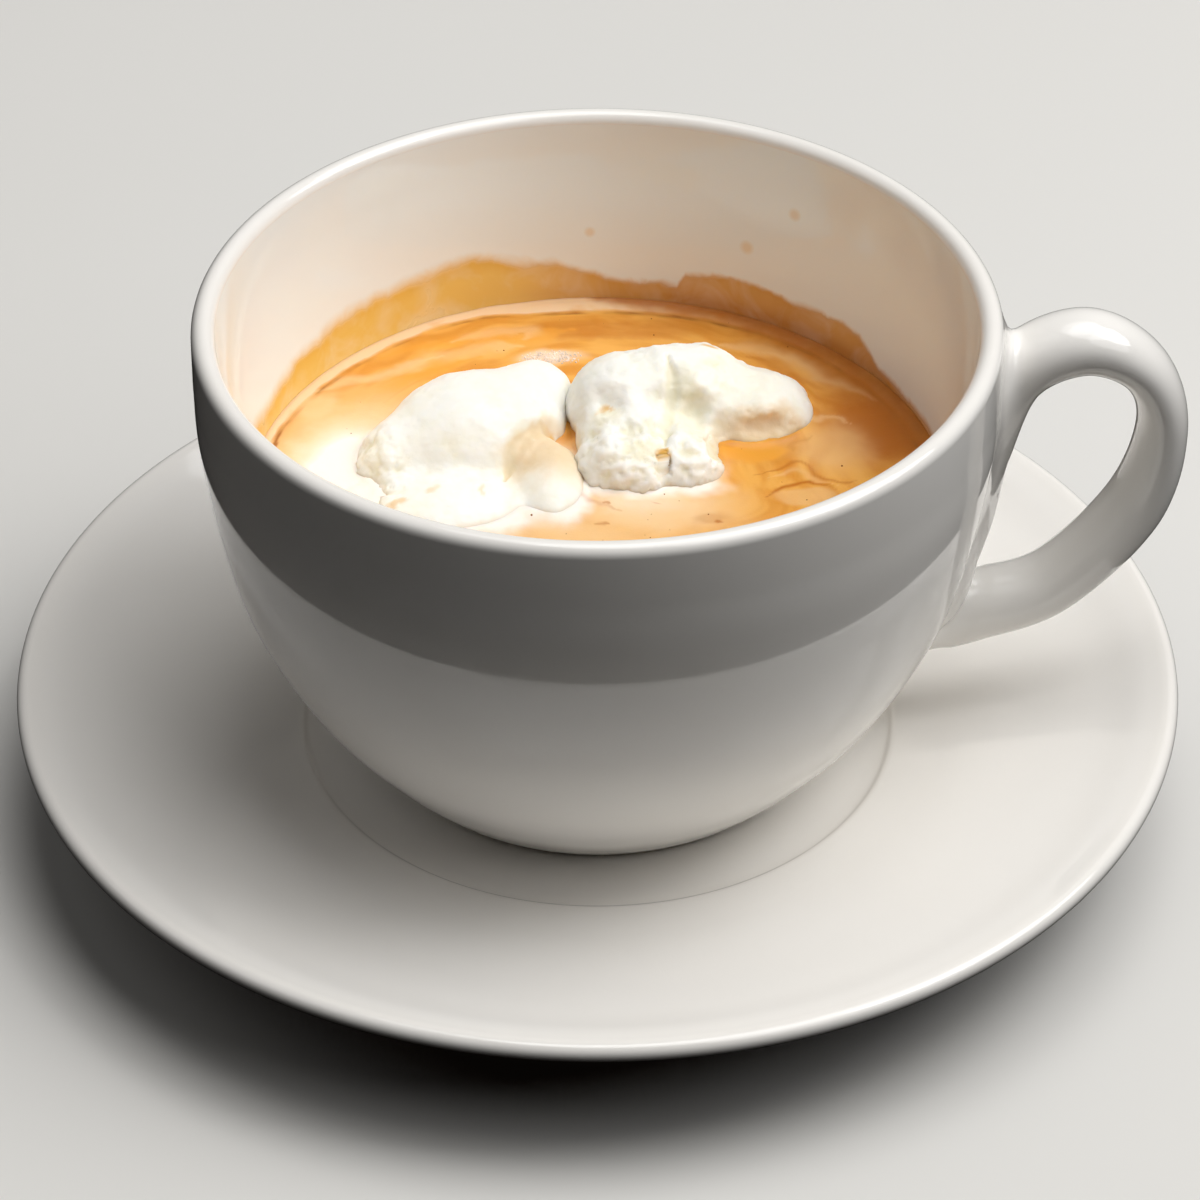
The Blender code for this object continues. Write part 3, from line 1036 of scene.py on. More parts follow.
@dataclass(frozen=True)
class IceCreamFinish:
    """Vanilla ice cream, half melted: airy and waxy white, glossy where it is wet.

    Light goes a little way in, hollows get a painted yellowish shade, and coffee has soaked in along the
    waterline.
    """

    cream: str = "#FBF8F0"
    shade: str = "#F0EBD3"
    coffee: str = "#E3AE3E"
    tan: str = "#E6CBA0"
    mottle: float = 5 * MM
    pore: float = 0.7 * MM
    pore_height: float = 0.1 * MM

    def build(self, name: str) -> bpy.types.Material:
        """Makes the material.

        Args:
            name: Name of the material.

        Returns:
            The material.
        """
        made, add, spot = new_material(name)
        hollow, soaked, tanned = (
            add("Attribute", {"attribute_name": key}).outputs["Fac"] for key in ("hollow", "soaked", "tanned")
        )
        mottle = add("TexNoise", {"Vector": spot, "Scale": 1 / self.mottle, "Detail": 4.0, "Roughness": 0.6})
        tone = add("MapRange", {"Value": mottle, "From Min": 0.4, "From Max": 0.75, "To Max": 0.25})
        # Random mottle plus the painted shade in the hollows, mixed towards the shade colour.
        yellow = add("Math", {"operation": "ADD", "use_clamp": True, 0: hollow, 1: tone})
        colour = linear(self.cream)
        for share, code in ((yellow, self.shade), (tanned, self.tan), (soaked, self.coffee)):
            colour = add("Mix", {"data_type": "RGBA", 0: share, 6: colour, 7: linear(code)})
        gloss = add("MapRange", {
            "Value": mottle, "From Min": 0.3, "From Max": 0.7, "To Min": 0.32, "To Max": 0.55
        })
        pores = add("TexNoise", {"Vector": spot, "Scale": 1 / self.pore, "Detail": 4.0, "Roughness": 0.65})
        bump = add("Bump", {"Height": pores, "Strength": 0.5, "Distance": self.pore_height})
        shader = add("BsdfPrincipled", {
            "Base Color": colour, "Roughness": gloss, "Normal": bump, "IOR": 1.38,
            "subsurface_method": "RANDOM_WALK", "Subsurface Weight": 0.7, "Subsurface Scale": 1.8 * MM,
            "Subsurface Radius": (1.0, 0.92, 0.78),
        })
        add("OutputMaterial", {"Surface": shader})
        return made


@dataclass
class IceCreamLump:
    """One lump of ice cream: lobes run together, less its hollows, with torn crumbly patches.

    Patches and sizes in tuples are millimetres.
    """

    name: str
    node: str
    lobes: tuple[Lobe, ...]
    hollows: tuple[Lobe, ...] = ()
    crags: tuple[Patch, ...] = ()
    grooves: tuple[Streak, ...] = ()
    # Patches of painted shade in valleys and creases.
    shaded: tuple[Patch, ...] = ()
    soaked: tuple[Patch, ...] = ()
    tanned: tuple[Patch, ...] = ()
    tan_top: float = 60.0
    uneven: float = 0.2
    blend: float = 2.2 * MM
    voxel: float = 0.3 * MM
    bottom_z: float = 40.0 * MM
    level_z: float = 46.0 * MM
    # Sizes in millimetres: the soft waves, the torn chunks, the crumbs on them and the pits between.
    wave: float = 5.0
    chunk: float = 3.0
    crumb: float = 1.0
    pit: float = 1.3
    # How the skin is drawn onto the blend of the lobes: how often, and over what step the slope is taken.
    passes: int = 7
    slope_step: float = 0.02 * MM
    finish: IceCreamFinish = IceCreamFinish()

    def distance(self, spots: np.ndarray) -> np.ndarray:
        """Distance from places to the lobes run together, less the hollows.

        Args:
            spots: The places, in metres.

        Returns:
            One distance a place, in metres.
        """
        found = np.full(len(spots), 1.0)
        for lobe in self.lobes:
            found = self.softer(found, lobe.distance(spots), self.blend)
        for hollow in self.hollows:
            found = -self.softer(-found, hollow.distance(spots), self.blend / 2)
        return found

    def softer(self, a: np.ndarray, b: np.ndarray, blend: float) -> np.ndarray:
        """The smaller of two distances, rounded where they are alike.

        Args:
            a: One distance a place.
            b: The other.
            blend: How far apart they may be and still be blended.

        Returns:
            One distance a place.
        """
        share = np.clip(0.5 + 0.5 * (b - a) / blend, 0.0, 1.0)
        return b * (1 - share) + a * share - blend * share * (1 - share)

    def skin(self) -> bpy.types.Object:
        """The lump's smooth form, drawn onto the soft blend of its lobes.

        Returns:
            The form, as a plain mesh.
        """
        made = linked(self.name, bpy.data.meshes.new(self.name))
        with edited(made.data) as shape:
            for lobe in self.lobes:
                bmesh.ops.create_uvsphere(shape, u_segments=48, v_segments=24, radius=1, matrix=lobe.matrix())
        remesh = made.modifiers.new("skin", "REMESH")
        remesh.mode = "VOXEL"
        remesh.voxel_size = self.voxel
        plain(made)
        spots = places(made.data)
        for _ in range(self.passes):
            value = self.distance(spots)
            ahead = [self.distance(spots + self.slope_step * axis) for axis in np.eye(3)]
            slope = (np.stack(ahead, axis=1) - value[:, None]) / self.slope_step
            flatness = np.maximum(np.square(slope).sum(axis=1), 0.2)
            spots = spots - 0.8 * (value / flatness)[:, None] * slope
        put(made.data, spots)
        return made

    def relief(self, spots: np.ndarray) -> np.ndarray:
        """How far the real surface stands out of the smooth form, in millimetres.

        Args:
            spots: Places on the smooth form, in millimetres.

        Returns:
            One height a place.
        """
        torn = strongest(self.crags, spots)
        above = ramp(spots[:, 2], self.level_z / MM - 2.0, self.level_z / MM)
        soft = self.uneven * fractal(spots + 40.0, self.wave, 0.9, 3)
        grain = 0.05 * fractal(spots + 10.0, 1.3, 0.7, 3)
        chunks = 0.6 * fractal(spots, self.chunk, 0.8, 2) - 0.3 * np.abs(fractal(spots + 15.0, 2.2, 0.8, 2))
        crumbs = 0.2 * fractal(spots + 30.0, self.crumb, 0.6, 3)
        pits = -0.25 * ramp(nodules(spots + 3.0, self.pit), 0.9, 0.99)
        cuts = -strongest(self.grooves, spots)
        return above * (soft + grain + torn * (chunks + crumbs + pits) + cuts)

    def build(self) -> list[bpy.types.Object]:
        """Builds and dresses the lump.

        Returns:
            Its one piece.
        """
        made = self.skin()
        spots = places(made.data)
        facing = places(made.data, "normal")
        height = self.relief(spots / MM)
        put(made.data, spots + facing * (height * MM)[:, None])
        self.cut(made.data)
        spots = places(made.data)
        height = self.relief(spots / MM)
        self.paint(made.data, spots / MM, height)
        made.data.materials.clear()
        made.data.materials.append(self.finish.build(self.name + "_vanilla_ice_cream"))
        made.data.shade_smooth()
        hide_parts(self.node)
        return [made]

    def cut(self, mesh: bpy.types.Mesh) -> None:
        """Cuts off what is below the lump's underside and closes the cut.

        Args:
            mesh: The lump's mesh, which is changed.
        """
        with edited(mesh) as shape:
            whole = shape.verts[:] + shape.edges[:] + shape.faces[:]
            cut = bmesh.ops.bisect_plane(
                shape, geom=whole, plane_co=(0, 0, self.bottom_z), plane_no=(0, 0, -1), clear_outer=True
            )
            rim = [edge for edge in cut["geom_cut"] if isinstance(edge, bmesh.types.BMEdge)]
            bmesh.ops.holes_fill(shape, edges=rim, sides=0)
            bmesh.ops.recalc_face_normals(shape, faces=shape.faces)

    def paint(self, mesh: bpy.types.Mesh, spots: np.ndarray, height: np.ndarray) -> None:
        """Stores the painted shade in the lump's hollows and shaded patches, and where it is soaked with
        coffee or tanned by it.

        Args:
            mesh: The lump's mesh.
            spots: Its places, in millimetres.
            height: How far each stands out of the smooth form, in millimetres.
        """
        wobble = fractal(spots + 90.0, 2.5, 0.8, 3)
        level = self.level_z / MM
        line = ramp(spots[:, 2] + 0.5 * wobble, level + 1.1, level - 0.2)
        line = line * (0.35 + 0.35 * ramp(wobble, -0.3, 0.5))
        wobbled = spots + 0.8 * wobble[:, None]
        soaked = np.maximum(line, strongest(self.soaked, wobbled))
        tanned = strongest(self.tanned, wobbled)
        tanned = tanned * ramp(wobbled[:, 2], self.tan_top + 0.7, self.tan_top - 0.7)
        # Painted shade: sunken places and the shaded patches.
        hollow = np.maximum(ramp(height, 0.05, -0.6), strongest(self.shaded, wobbled))
        store(mesh, "hollow", hollow * 0.9)
        store(mesh, "soaked", np.clip(soaked, 0.0, 1.0))
        store(mesh, "tanned", np.clip(tanned, 0.0, 1.0))


class Tint(Enum):
    """What colours the surface of the drink, laid over the crema in this order."""

    # Darker coffee, plus painted shade cast by the right wall on the drink.
    DEEP = "deep"
    GOLD = "gold"
    PEACH = "peach"
    PALE = "pale"
    CREAM = "cream"
    FOAM = "foam"
    # Painted shade cast by the cup's right wall on the drink, along with some real brown streaks.
    BROWN = "brown"
    LINE = "line"


@dataclass(frozen=True)
class CremaFinish:
    """Crema on coffee with melted ice cream in it: a fine golden foam with a satin gloss.

    Brown coffee, golden crema and pale cream are drawn out into soft streaks that follow the stirring. Some
    of the brown and deep tints along the right wall are painted shade.
    """

    light: str = "#EEB056"
    dark: str = "#DC9438"
    tints: tuple[tuple[Tint, str], ...] = (
        (Tint.DEEP, "#C2711C"),
        (Tint.GOLD, "#EBA23A"),
        (Tint.PEACH, "#EFC084"),
        (Tint.PALE, "#F3CC98"),
        (Tint.CREAM, "#F8F0E5"),
        (Tint.FOAM, "#F3D0A6"),
        (Tint.BROWN, "#B46414"),
        (Tint.LINE, "#A86A2C"),
    )
    grain: float = 1.4 * MM
    bubble: float = 0.35 * MM
    bubble_height: float = 0.03 * MM

    def build(self, name: str) -> bpy.types.Material:
        """Makes the material.

        Args:
            name: Name of the material.

        Returns:
            The material.
        """
        made, add, spot = new_material(name)
        flow = add("Attribute", {"attribute_name": "flow"}).outputs["Fac"]
        fine = add("TexNoise", {"Vector": spot, "Scale": 1 / self.grain, "Detail": 4.0, "Roughness": 0.6})
        blur = add("Math", {"operation": "MULTIPLY_ADD", 0: fine, 1: 0.3, 2: -0.15})
        tone = add("Math", {"operation": "ADD", "use_clamp": True, 0: flow, 1: blur})
        colour = add("Mix", {"data_type": "RGBA", 0: tone, 6: linear(self.light), 7: linear(self.dark)})
        clamped = {"operation": "MULTIPLY_ADD", "use_clamp": True}
        for tint, code in self.tints:
            mask = add("Attribute", {"attribute_name": tint.value}).outputs["Fac"]
            worn = add("Math", {**clamped, 0: mask, 1: 1.0, 2: blur})
            share = add("Math", {"operation": "MULTIPLY", "use_clamp": True, 0: worn, 1: mask})
            full = add("Math", {**clamped, 0: mask, 1: 0.35, 2: share})
            colour = add("Mix", {"data_type": "RGBA", 0: full, 6: colour, 7: linear(code)})
        speckle = add("TexVoronoi", {"Vector": spot, "Scale": 1 / self.bubble, "Randomness": 1.0})
        bump = add("Bump", {"Height": speckle, "Strength": 0.25, "Distance": self.bubble_height})
        shader = add("BsdfPrincipled", {
            "Base Color": colour, "Roughness": 0.3, "Normal": bump, "IOR": 1.36,
            "subsurface_method": "RANDOM_WALK", "Subsurface Weight": 0.25, "Subsurface Scale": 0.8 * MM,
            "Subsurface Radius": (1.0, 0.6, 0.3),
        })
        add("OutputMaterial", {"Surface": shader})
        return made


@dataclass(frozen=True)
class DropletFinish:
    """Tiny wet beads: thin bubbles of crema, or specks of coffee, with a small bright glint on each."""

    colour: str
    roughness: float = 0.15
    cloud: float = 2 * MM

    def build(self, name: str) -> bpy.types.Material:
        """Makes the material.

        Args:
            name: Name of the material.

        Returns:
            The material.
        """
        made, add, spot = new_material(name)
        cloud = add("TexNoise", {"Vector": spot, "Scale": 1 / self.cloud, "Detail": 2.0})
        shade = add("MapRange", {
            "Value": cloud, "From Min": 0.3, "From Max": 0.7, "To Min": 0.7, "To Max": 1.15
        })
        colour = add("HueSaturation", {"Color": linear(self.colour), "Value": shade})
        shader = add("BsdfPrincipled", {"Base Color": colour, "Roughness": self.roughness, "IOR": 1.34})
        add("OutputMaterial", {"Surface": shader})
        return made


@dataclass(frozen=True)
class Scatter:
    """Geometry Nodes that strew small beads over the drink, thickest in patches. Sizes are millimetres."""

    name: str
    patches: tuple[Patch, ...]
    elsewhere: float
    finish: DropletFinish
    per_square_mm: float
    smallest: float
    largest: float
    seed: int

    def tree(self) -> bpy.types.NodeTree:
        """Builds the node tree, or finds the one built before.

        Returns:
            A tree that reads where the beads lie from the attribute called Thickness.
        """
        if "scatter" in bpy.data.node_groups:
            return bpy.data.node_groups["scatter"]
        tree, add, given = new_group("scatter", "Beads", {
            "Surface": "Geometry", "Thickness": "String", "Density": "Float", "Smallest": "Float",
            "Largest": "Float", "Seed": "Int", "Finish": "Material",
        })
        thick = add("GeometryNodeInputNamedAttribute", {"data_type": "FLOAT", "Name": given["Thickness"]})
        density = add("Math", {
            "operation": "MULTIPLY", 0: given["Density"], 1: thick.outputs["Attribute"]
        })
        strewn = add("GeometryNodeDistributePointsOnFaces", {
            "distribute_method": "RANDOM", "Mesh": given["Surface"], "Density": density, "Seed": given["Seed"]
        })
        bead = add("GeometryNodeMeshUVSphere", {"Segments": 8, "Rings": 5, "Radius": 1.0})
        share = add("FunctionNodeRandomValue", {"data_type": "FLOAT", "Seed": given["Seed"]})
        small = add("Math", {"operation": "POWER", 0: share.outputs[1], 1: 3.0})
        size = add("MapRange", {"Value": small, "To Min": given["Smallest"], "To Max": given["Largest"]})
        placed = add("GeometryNodeInstanceOnPoints", {
            "Points": strewn.outputs["Points"], "Instance": bead.outputs["Mesh"], "Scale": size
        })
        real = add("GeometryNodeRealizeInstances", {"Geometry": placed})
        smoothed = add("GeometryNodeSetShadeSmooth", {"Geometry": real})
        add("NodeGroupOutput", {
            0: add("GeometryNodeSetMaterial", {"Geometry": smoothed, "Material": given["Finish"]})
        })
        return tree

    def build(self, surface: bpy.types.Object) -> bpy.types.Object:
        """Strews the beads.

        Args:
            surface: What they lie on.

        Returns:
            The beads, as one plain mesh.
        """
        made = linked(self.name, surface.data.copy())
        grow(made, self.tree(), {
            "Thickness": self.name, "Density": self.per_square_mm / MM**2, "Smallest": self.smallest * MM,
            "Largest": self.largest * MM, "Seed": self.seed, "Finish": self.finish.build(self.name),
        })
        return made


@dataclass
class Coffee:
    """The drink: level with a ring of foam along the wall, streaked, and filling the cup to its floor.

    Marks are millimetres seen from above.
    """

    level_z: float = 46.0 * MM
    inside: tuple[Point, ...] = Cup.inside
    into_wall: float = 0.15 * MM
    # Where the ring of foam starts: azimuth in degrees and radius in millimetres.
    foam_inner: tuple[Point, ...] = (
        (0, 43.2), (30, 42.9), (60, 42.2), (75, 41.8), (92, 41.4), (100, 41.8), (106, 43), (120, 43.3),
        (135, 43.2), (148, 43.4), (160, 44), (180, 43.6), (215, 42.6), (250, 43.2), (290, 42.7), (320, 43.3),
        (360, 43.2),
    )
    # How thick its foam is, by azimuth, from 0 to 1.
    foam_strength: tuple[Point, ...] = (
        (0, 0.15), (40, 0.4), (70, 0.65), (95, 0.95), (170, 1), (215, 0.9), (290, 0.6), (330, 0.2),
        (360, 0.1),
    )
    foam_height: float = 0.24 * MM
    rings: int = 128
    segments: int = 620
    lumps: tuple[IceCreamLump, ...] = ()
    marks: dict[Tint, tuple[Streak | Patch, ...]] = field(default_factory=dict)
    scatters: tuple[Scatter, ...] = ()
    finish: CremaFinish = CremaFinish()

    def relief(self, spots: np.ndarray) -> np.ndarray:
        """How high the surface stands over its level, in millimetres.

        Args:
            spots: Places in millimetres, on the level.

        Returns:
            One height a place.
        """
        over = self.past_foam_edge(spots)
        bead = np.sin(np.clip(over / 3.0, 0.0, 1.0) * math.pi) ** 0.7 * self.foam_height / MM
        wave = 0.05 * fractal(spots + 20.0, 7.0, 0.9, 2)
        climb = 0.45 * np.exp(-np.clip(self.from_lumps(spots), 0.0, 9.0) / 0.7)
        return bead * (0.85 + 0.3 * fractal(spots, 4.0, 0.9, 2)) + wave + climb

    def from_lumps(self, spots: np.ndarray) -> np.ndarray:
        """How far places are from the nearest lump of ice cream, in millimetres."""
        return np.min([lump.distance(spots * MM) / MM for lump in self.lumps], axis=0)

    def past_foam_edge(self, spots: np.ndarray) -> np.ndarray:
        """How far places are outside the inner edge of the ring of foam, in millimetres.

        Args:
            spots: Places in millimetres.

        Returns:
            One distance a place.
        """
        inner = by_azimuth(self.foam_inner, spots)
        return np.hypot(spots[:, 0], spots[:, 1]) - inner - 0.25 * fractal(spots + 70.0, 4.0, 0.9, 2)

    def flow(self, spots: np.ndarray) -> np.ndarray:
        """How dark the crema is, in streaks drawn out round the cup, from 0 to 1.

        Args:
            spots: Places in millimetres.

        Returns:
            One share a place.
        """
        radius, angle = np.hypot(spots[:, 0], spots[:, 1]), np.arctan2(spots[:, 1], spots[:, 0])
        radius = radius + 3.0 * fractal(spots + 60.0, 12.0, 0.9, 2)
        angle = angle + 0.35 * fractal(spots + 80.0, 16.0, 0.9, 2)
        drawn = np.stack([radius / 2.4, 2.2 * np.cos(angle), 2.2 * np.sin(angle)], axis=1)
        return ramp(fractal(drawn, 1.0, 0.8, 3), -0.6, 0.7)

    def build(self) -> list[bpy.types.Object]:
        """Builds and dresses the drink.

        Returns:
            The drink and what is strewn on it.
        """
        wall = [(r + self.into_wall, z) for r, z in smooth(scaled(self.inside), 6)[1:]]
        edge = float(radius_at(wall, self.level_z + 0.1 * MM))
        radii = list(np.linspace(0.0, edge, self.rings + 1)[1:])
        below = [point for point in reversed(wall) if point[1] < self.level_z - 1.5 * MM][::3]
        rows = [(r, self.level_z) for r in radii] + below
        angles = FULL_TURN * np.arange(self.segments) / self.segments
        spots = [(0.0, 0.0, self.level_z)]
        for r, z in rows:
            east, north = (r * np.cos(angles)).tolist(), (r * np.sin(angles)).tolist()
            spots += list(zip(east, north, [z] * self.segments))
        spots.append((0.0, 0.0, below[-1][1]))
        spots = np.array(spots)
        top = 1 + self.rings * self.segments
        marks = spots / MM
        spots[:top, 2] += self.relief(marks[:top]) * MM
        mesh = bpy.data.meshes.new("crema_coffee")
        mesh.from_pydata(spots.tolist(), [], self.faces(len(rows)))
        face_outwards(mesh)
        made = linked("crema_coffee", mesh)
        store(mesh, "flow", self.flow(marks))
        warp = np.stack([fractal(marks + shift, 5.0, 0.9, 3) for shift in (5.0, 25.0)], axis=1)
        drawn = marks.copy()
        drawn[:, :2] += 1.1 * warp
        over = self.past_foam_edge(marks)
        for tint in Tint:
            mask = strongest(self.marks.get(tint, ()), drawn)
            if tint is Tint.CREAM:
                near = self.from_lumps(drawn) + 0.8 * warp[:, 0]
                melted = ramp(near, 3.2, -0.3) * ramp(drawn[:, 1] + 0.3 * drawn[:, 0], 12.0, 2.0)
                mask = np.maximum(mask, 0.85 * melted)
            if tint is Tint.FOAM:
                thick = by_azimuth(self.foam_strength, marks)
                mask = ramp(over, 0.0, 0.7) * thick * (1.0 + 0.3 * fractal(marks + 33.0, 3.0, 0.7, 3))
            if tint is Tint.LINE:
                rim = ramp(np.hypot(marks[:, 0], marks[:, 1]), 45.0, 45.35)
                inner = ramp(np.abs(over + 0.1), 0.5, 0.1) * (0.5 + 0.7 * fractal(marks + 55.0, 5.0, 0.8, 3))
                mask = np.clip(np.maximum(inner, 0.45 * rim), 0.0, 1.0)
            store(mesh, tint.value, mask)
        mesh.materials.append(self.finish.build("crema_on_coffee"))
        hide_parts("coffee")
        level = np.where(marks[:, 2] > self.level_z / MM - 0.1, 1.0, 0.0)
        clear = ramp(self.from_lumps(marks), 0.0, 0.4) * level
        for scatter in self.scatters:
            store(mesh, scatter.name, strongest(scatter.patches, marks, scatter.elsewhere) * clear)
        return [made, *(scatter.build(made) for scatter in self.scatters)]

    def faces(self, rows: int) -> list[tuple[int, ...]]:
        """The faces of a closed shell of rings between two poles.

        Args:
            rows: How many rings there are.

        Returns:
            The faces, as vertex numbers.
        """
        count, last = self.segments, rows * self.segments + 1
        made: list[tuple[int, ...]] = []
        for k in range(count):
            m = (k + 1) % count
            made.append((0, 1 + k, 1 + m))
            made.append((last, last - count + m, last - count + k))
            for i in range(rows - 1):
                a = 1 + i * count
                made.append((a + k, a + count + k, a + count + m, a + m))
        return made


# Studio


@dataclass(frozen=True)
class FloorFinish:
    """Matt painted board: pale, even and dull, so that it shows only soft shadows."""

    colour: str = "#E4E2DE"
    mottled: str = "#DCDAD5"

    def build(self) -> bpy.types.Material:
        """Makes the material.

        Returns:
            The material.
        """
        made, add, spot = new_material("pale_painted_floor")
        cloud = add("TexNoise", {"Vector": spot, "Scale": 4.0, "Detail": 2.0})
        colour = add("Mix", {"data_type": "RGBA", 0: cloud, 6: linear(self.colour), 7: linear(self.mottled)})
        add("OutputMaterial", {"Surface": add("BsdfPrincipled", {"Base Color": colour, "Roughness": 0.9})})
        return made


@dataclass(frozen=True)
class SoftBox:
    """A round studio light that faces a point near the cup."""

    name: str
    place: Place
    size: float
    watts: float
    colour: str = "#FFFFFF"
    target: Place = (0.0, 0.0, 0.04)

    def build(self) -> None:
        """Hangs the light."""
        data = bpy.data.lights.new(self.name, "AREA")
        data.shape = "DISK"
        data.size = self.size
        data.energy = self.watts
        data.color = linear(self.colour)[:3]
        made = linked(self.name, data)
        made.location = self.place
        made.rotation_mode = "QUATERNION"
        made.rotation_quaternion = (Vector(self.target) - Vector(self.place)).to_track_quat("-Z", "Y")


@dataclass
class Studio:
    """The pale floor, the soft lights, the dim room and the camera at the photo's angle."""

    floor_half: float = 1.6
    room: str = "#090706"
    room_strength: float = 1.0
    eye: Place = (-0.02316, -0.44192, 0.36102)
    forward: Place = (0.04238, 0.79753, -0.60179)
    right: Place = (0.9986, -0.05293, 0.00018)
    lens: float = 125.15
    lights: tuple[SoftBox, ...] = (
        SoftBox("right_light", (0.800, 0.080, 1.064), 0.8, 6.3),
        SoftBox("top_light", (0.358, 0.080, 1.290), 1.15, 6.5),
        SoftBox("front_right_light", (0.693, -0.400, 1.064), 1.0, 3.9),
        SoftBox("back_light", (0.179, 0.310, 1.290), 1.0, 4.2),
        SoftBox("left_fill", (-0.800, 0.0, 1.064), 1.1, 1.4),
    )

    def build(self) -> None:
        """Sets up the floor, the lights, the room and the camera."""
        half = self.floor_half
        mesh = bpy.data.meshes.new("floor")
        corners = [(-half, -half, 0.0), (half, -half, 0.0), (half, half, 0.0), (-half, half, 0.0)]
        mesh.from_pydata(corners, [], [(0, 1, 2, 3)])
        mesh.materials.append(FloorFinish().build())
        floor = linked("floor", mesh)
        floor.visible_glossy = False
        floor.visible_diffuse = False
        for light in self.lights:
            light.build()
        world = bpy.data.worlds.new("room")
        world.use_nodes = True
        world.node_tree.nodes.clear()
        add = partial(add_node, world.node_tree)
        air = add("Background", {"Color": linear(self.room), "Strength": self.room_strength})
        add("OutputWorld", {"Surface": air})
        bpy.context.scene.world = world
        bpy.context.scene.view_settings.view_transform = "Standard"
        self.camera()

    def camera(self) -> None:
        """Sets up the camera."""
        data = bpy.data.cameras.new("camera")
        data.lens = self.lens
        data.sensor_width = 36.0
        data.clip_start = 0.01
        made = linked("camera", data)
        forward = Vector(self.forward).normalized()
        right = Vector(self.right).normalized()
        up = right.cross(forward)
        turn = Matrix((right, up, -forward)).transposed()
        made.matrix_world = Matrix.Translation(self.eye) @ turn.to_4x4()
        bpy.context.scene.camera = made


# The whole


LEFT_LUMP = IceCreamLump(
    name="ice_cream_mound",
    node="ice_cream_left",
    lobes=(
        Lobe((-15.9, 12.2, 44.4), (13.4, 11, 9.6), 32),
        Lobe((-8.2, 19.2, 44.8), (5.6, 6.8, 7), -20),
        Lobe((-26.1, 7.6, 43.4), (5.6, 7.6, 7)),
        Lobe((-6.3, 2.3, 42), (5.8, 10.6, 7.2), 4),
        Lobe((-19.4, -2.6, 42), (12.4, 8.4, 6.6)),
        Lobe((-5.2, 19.4, 48), (2.6, 3.6, 2.9), 20),
    ),
    hollows=(Lobe((-3.6, 9.6, 49), (2.4, 2, 3.4), 20),),
    crags=(
        Patch((-28.2, 2.5), (3, 7.5), 8, 0.95, 0.9), Patch((-18, 6), (14, 12), 20, 0.16, 1),
    ),
    grooves=(Streak(((-4.8, 9.4), (-7.6, 7.9), (-10.5, 4.6), (-12.1, 0.6)), 1.1, 0.55),),
    shaded=(Patch((-29, 3), (1.8, 6), 8, 0.45, 1),),
    soaked=(
        Patch((-21.4, -2.7), (0.8, 0.6), 30, 0.35, 1), Patch((-14.9, -2.7), (0.4, 1.2), 0, 0.35, 1),
        Patch((-26.4, -4.3), (1.3, 0.6), 0, 0.5, 1), Patch((-5, 9.6), (1.3, 0.8), 30, 0.8, 0.8),
    ),
    tanned=(Patch((-6, 5), (6, 5.8), -20, 0.85, 1.2),),
    tan_top=50.2,
)

RIGHT_LUMP = IceCreamLump(
    name="ice_cream_curl",
    node="ice_cream_right",
    lobes=(
        Lobe((3.7, 16.2, 47.4), (7.3, 7.4, 7.2)),
        Lobe((14, 18.4, 46.4), (8.2, 8.6, 7.6)),
        Lobe((21.8, 16.4, 44.2), (8.4, 8.6, 6.6), -24),
        Lobe((9.2, 18.6, 47.4), (5.6, 6.2, 7.2)),
        Lobe((3.8, 9.2, 46.4), (6.2, 5.2, 5.6)),
        Lobe((8.4, 10.2, 43.6), (9.4, 8, 6.4)),
        Lobe((4.2, 3.4, 45.4), (7.4, 5.4, 5.9), -10),
        Lobe((12.2, 3.7, 45), (5, 5, 5.4)),
    ),
    hollows=(
        Lobe((2.2, 9.6, 54.2), (3, 2.2, 3.2), -30), Lobe((13.6, 9.8, 51.2), (2.4, 3, 3), 10),
        Lobe((4.2, 5.6, 52.4), (2.6, 1.4, 2), 20),
        Lobe((8.7, 0.4, 49), (0.6, 2.2, 1.1)), Lobe((22.5, 6.6, 48.6), (8, 4.2, 2.6), 14),
    ),
    crags=(
        Patch((5, 2), (10.5, 7), 0, 0.95, 0.8), Patch((12.5, 4), (4.5, 5), 0, 0.8),
        Patch((10, 14), (20, 12), 0, 0.3, 0.8),
    ),
    grooves=(
        Streak(((10.2, 17.5), (10.6, 14), (10.2, 10.5), (9.4, 7), (9, 3.4)), 1, 0.6),
        Streak(((15.2, 8.2), (15.6, 4.5), (15, 1)), 0.9, 0.5),
    ),
    shaded=(
        Patch((12.4, 10.5), (2.4, 5), 0, 0.8, 1), Patch((1.8, 8.6), (1.8, 1.6), -30, 0.8, 1),
        Patch((20, 16), (6, 4.5), 20, 0.35, 1.2),
    ),
    uneven=0.3,
    soaked=(
        Patch((8.7, 1.4), (1, 1.5), 0, 0.95, 0.6), Patch((1.5, 9.9), (0.9, 0.6), 0, 0.7, 1),
        Patch((16.1, 21.5), (1.1, 0.7), 0, 0.75, 1),
    ),
    tanned=(Patch((22.5, 8), (7.5, 4.2), 14, 0.8, 0.8),),
    tan_top=49.8,
)

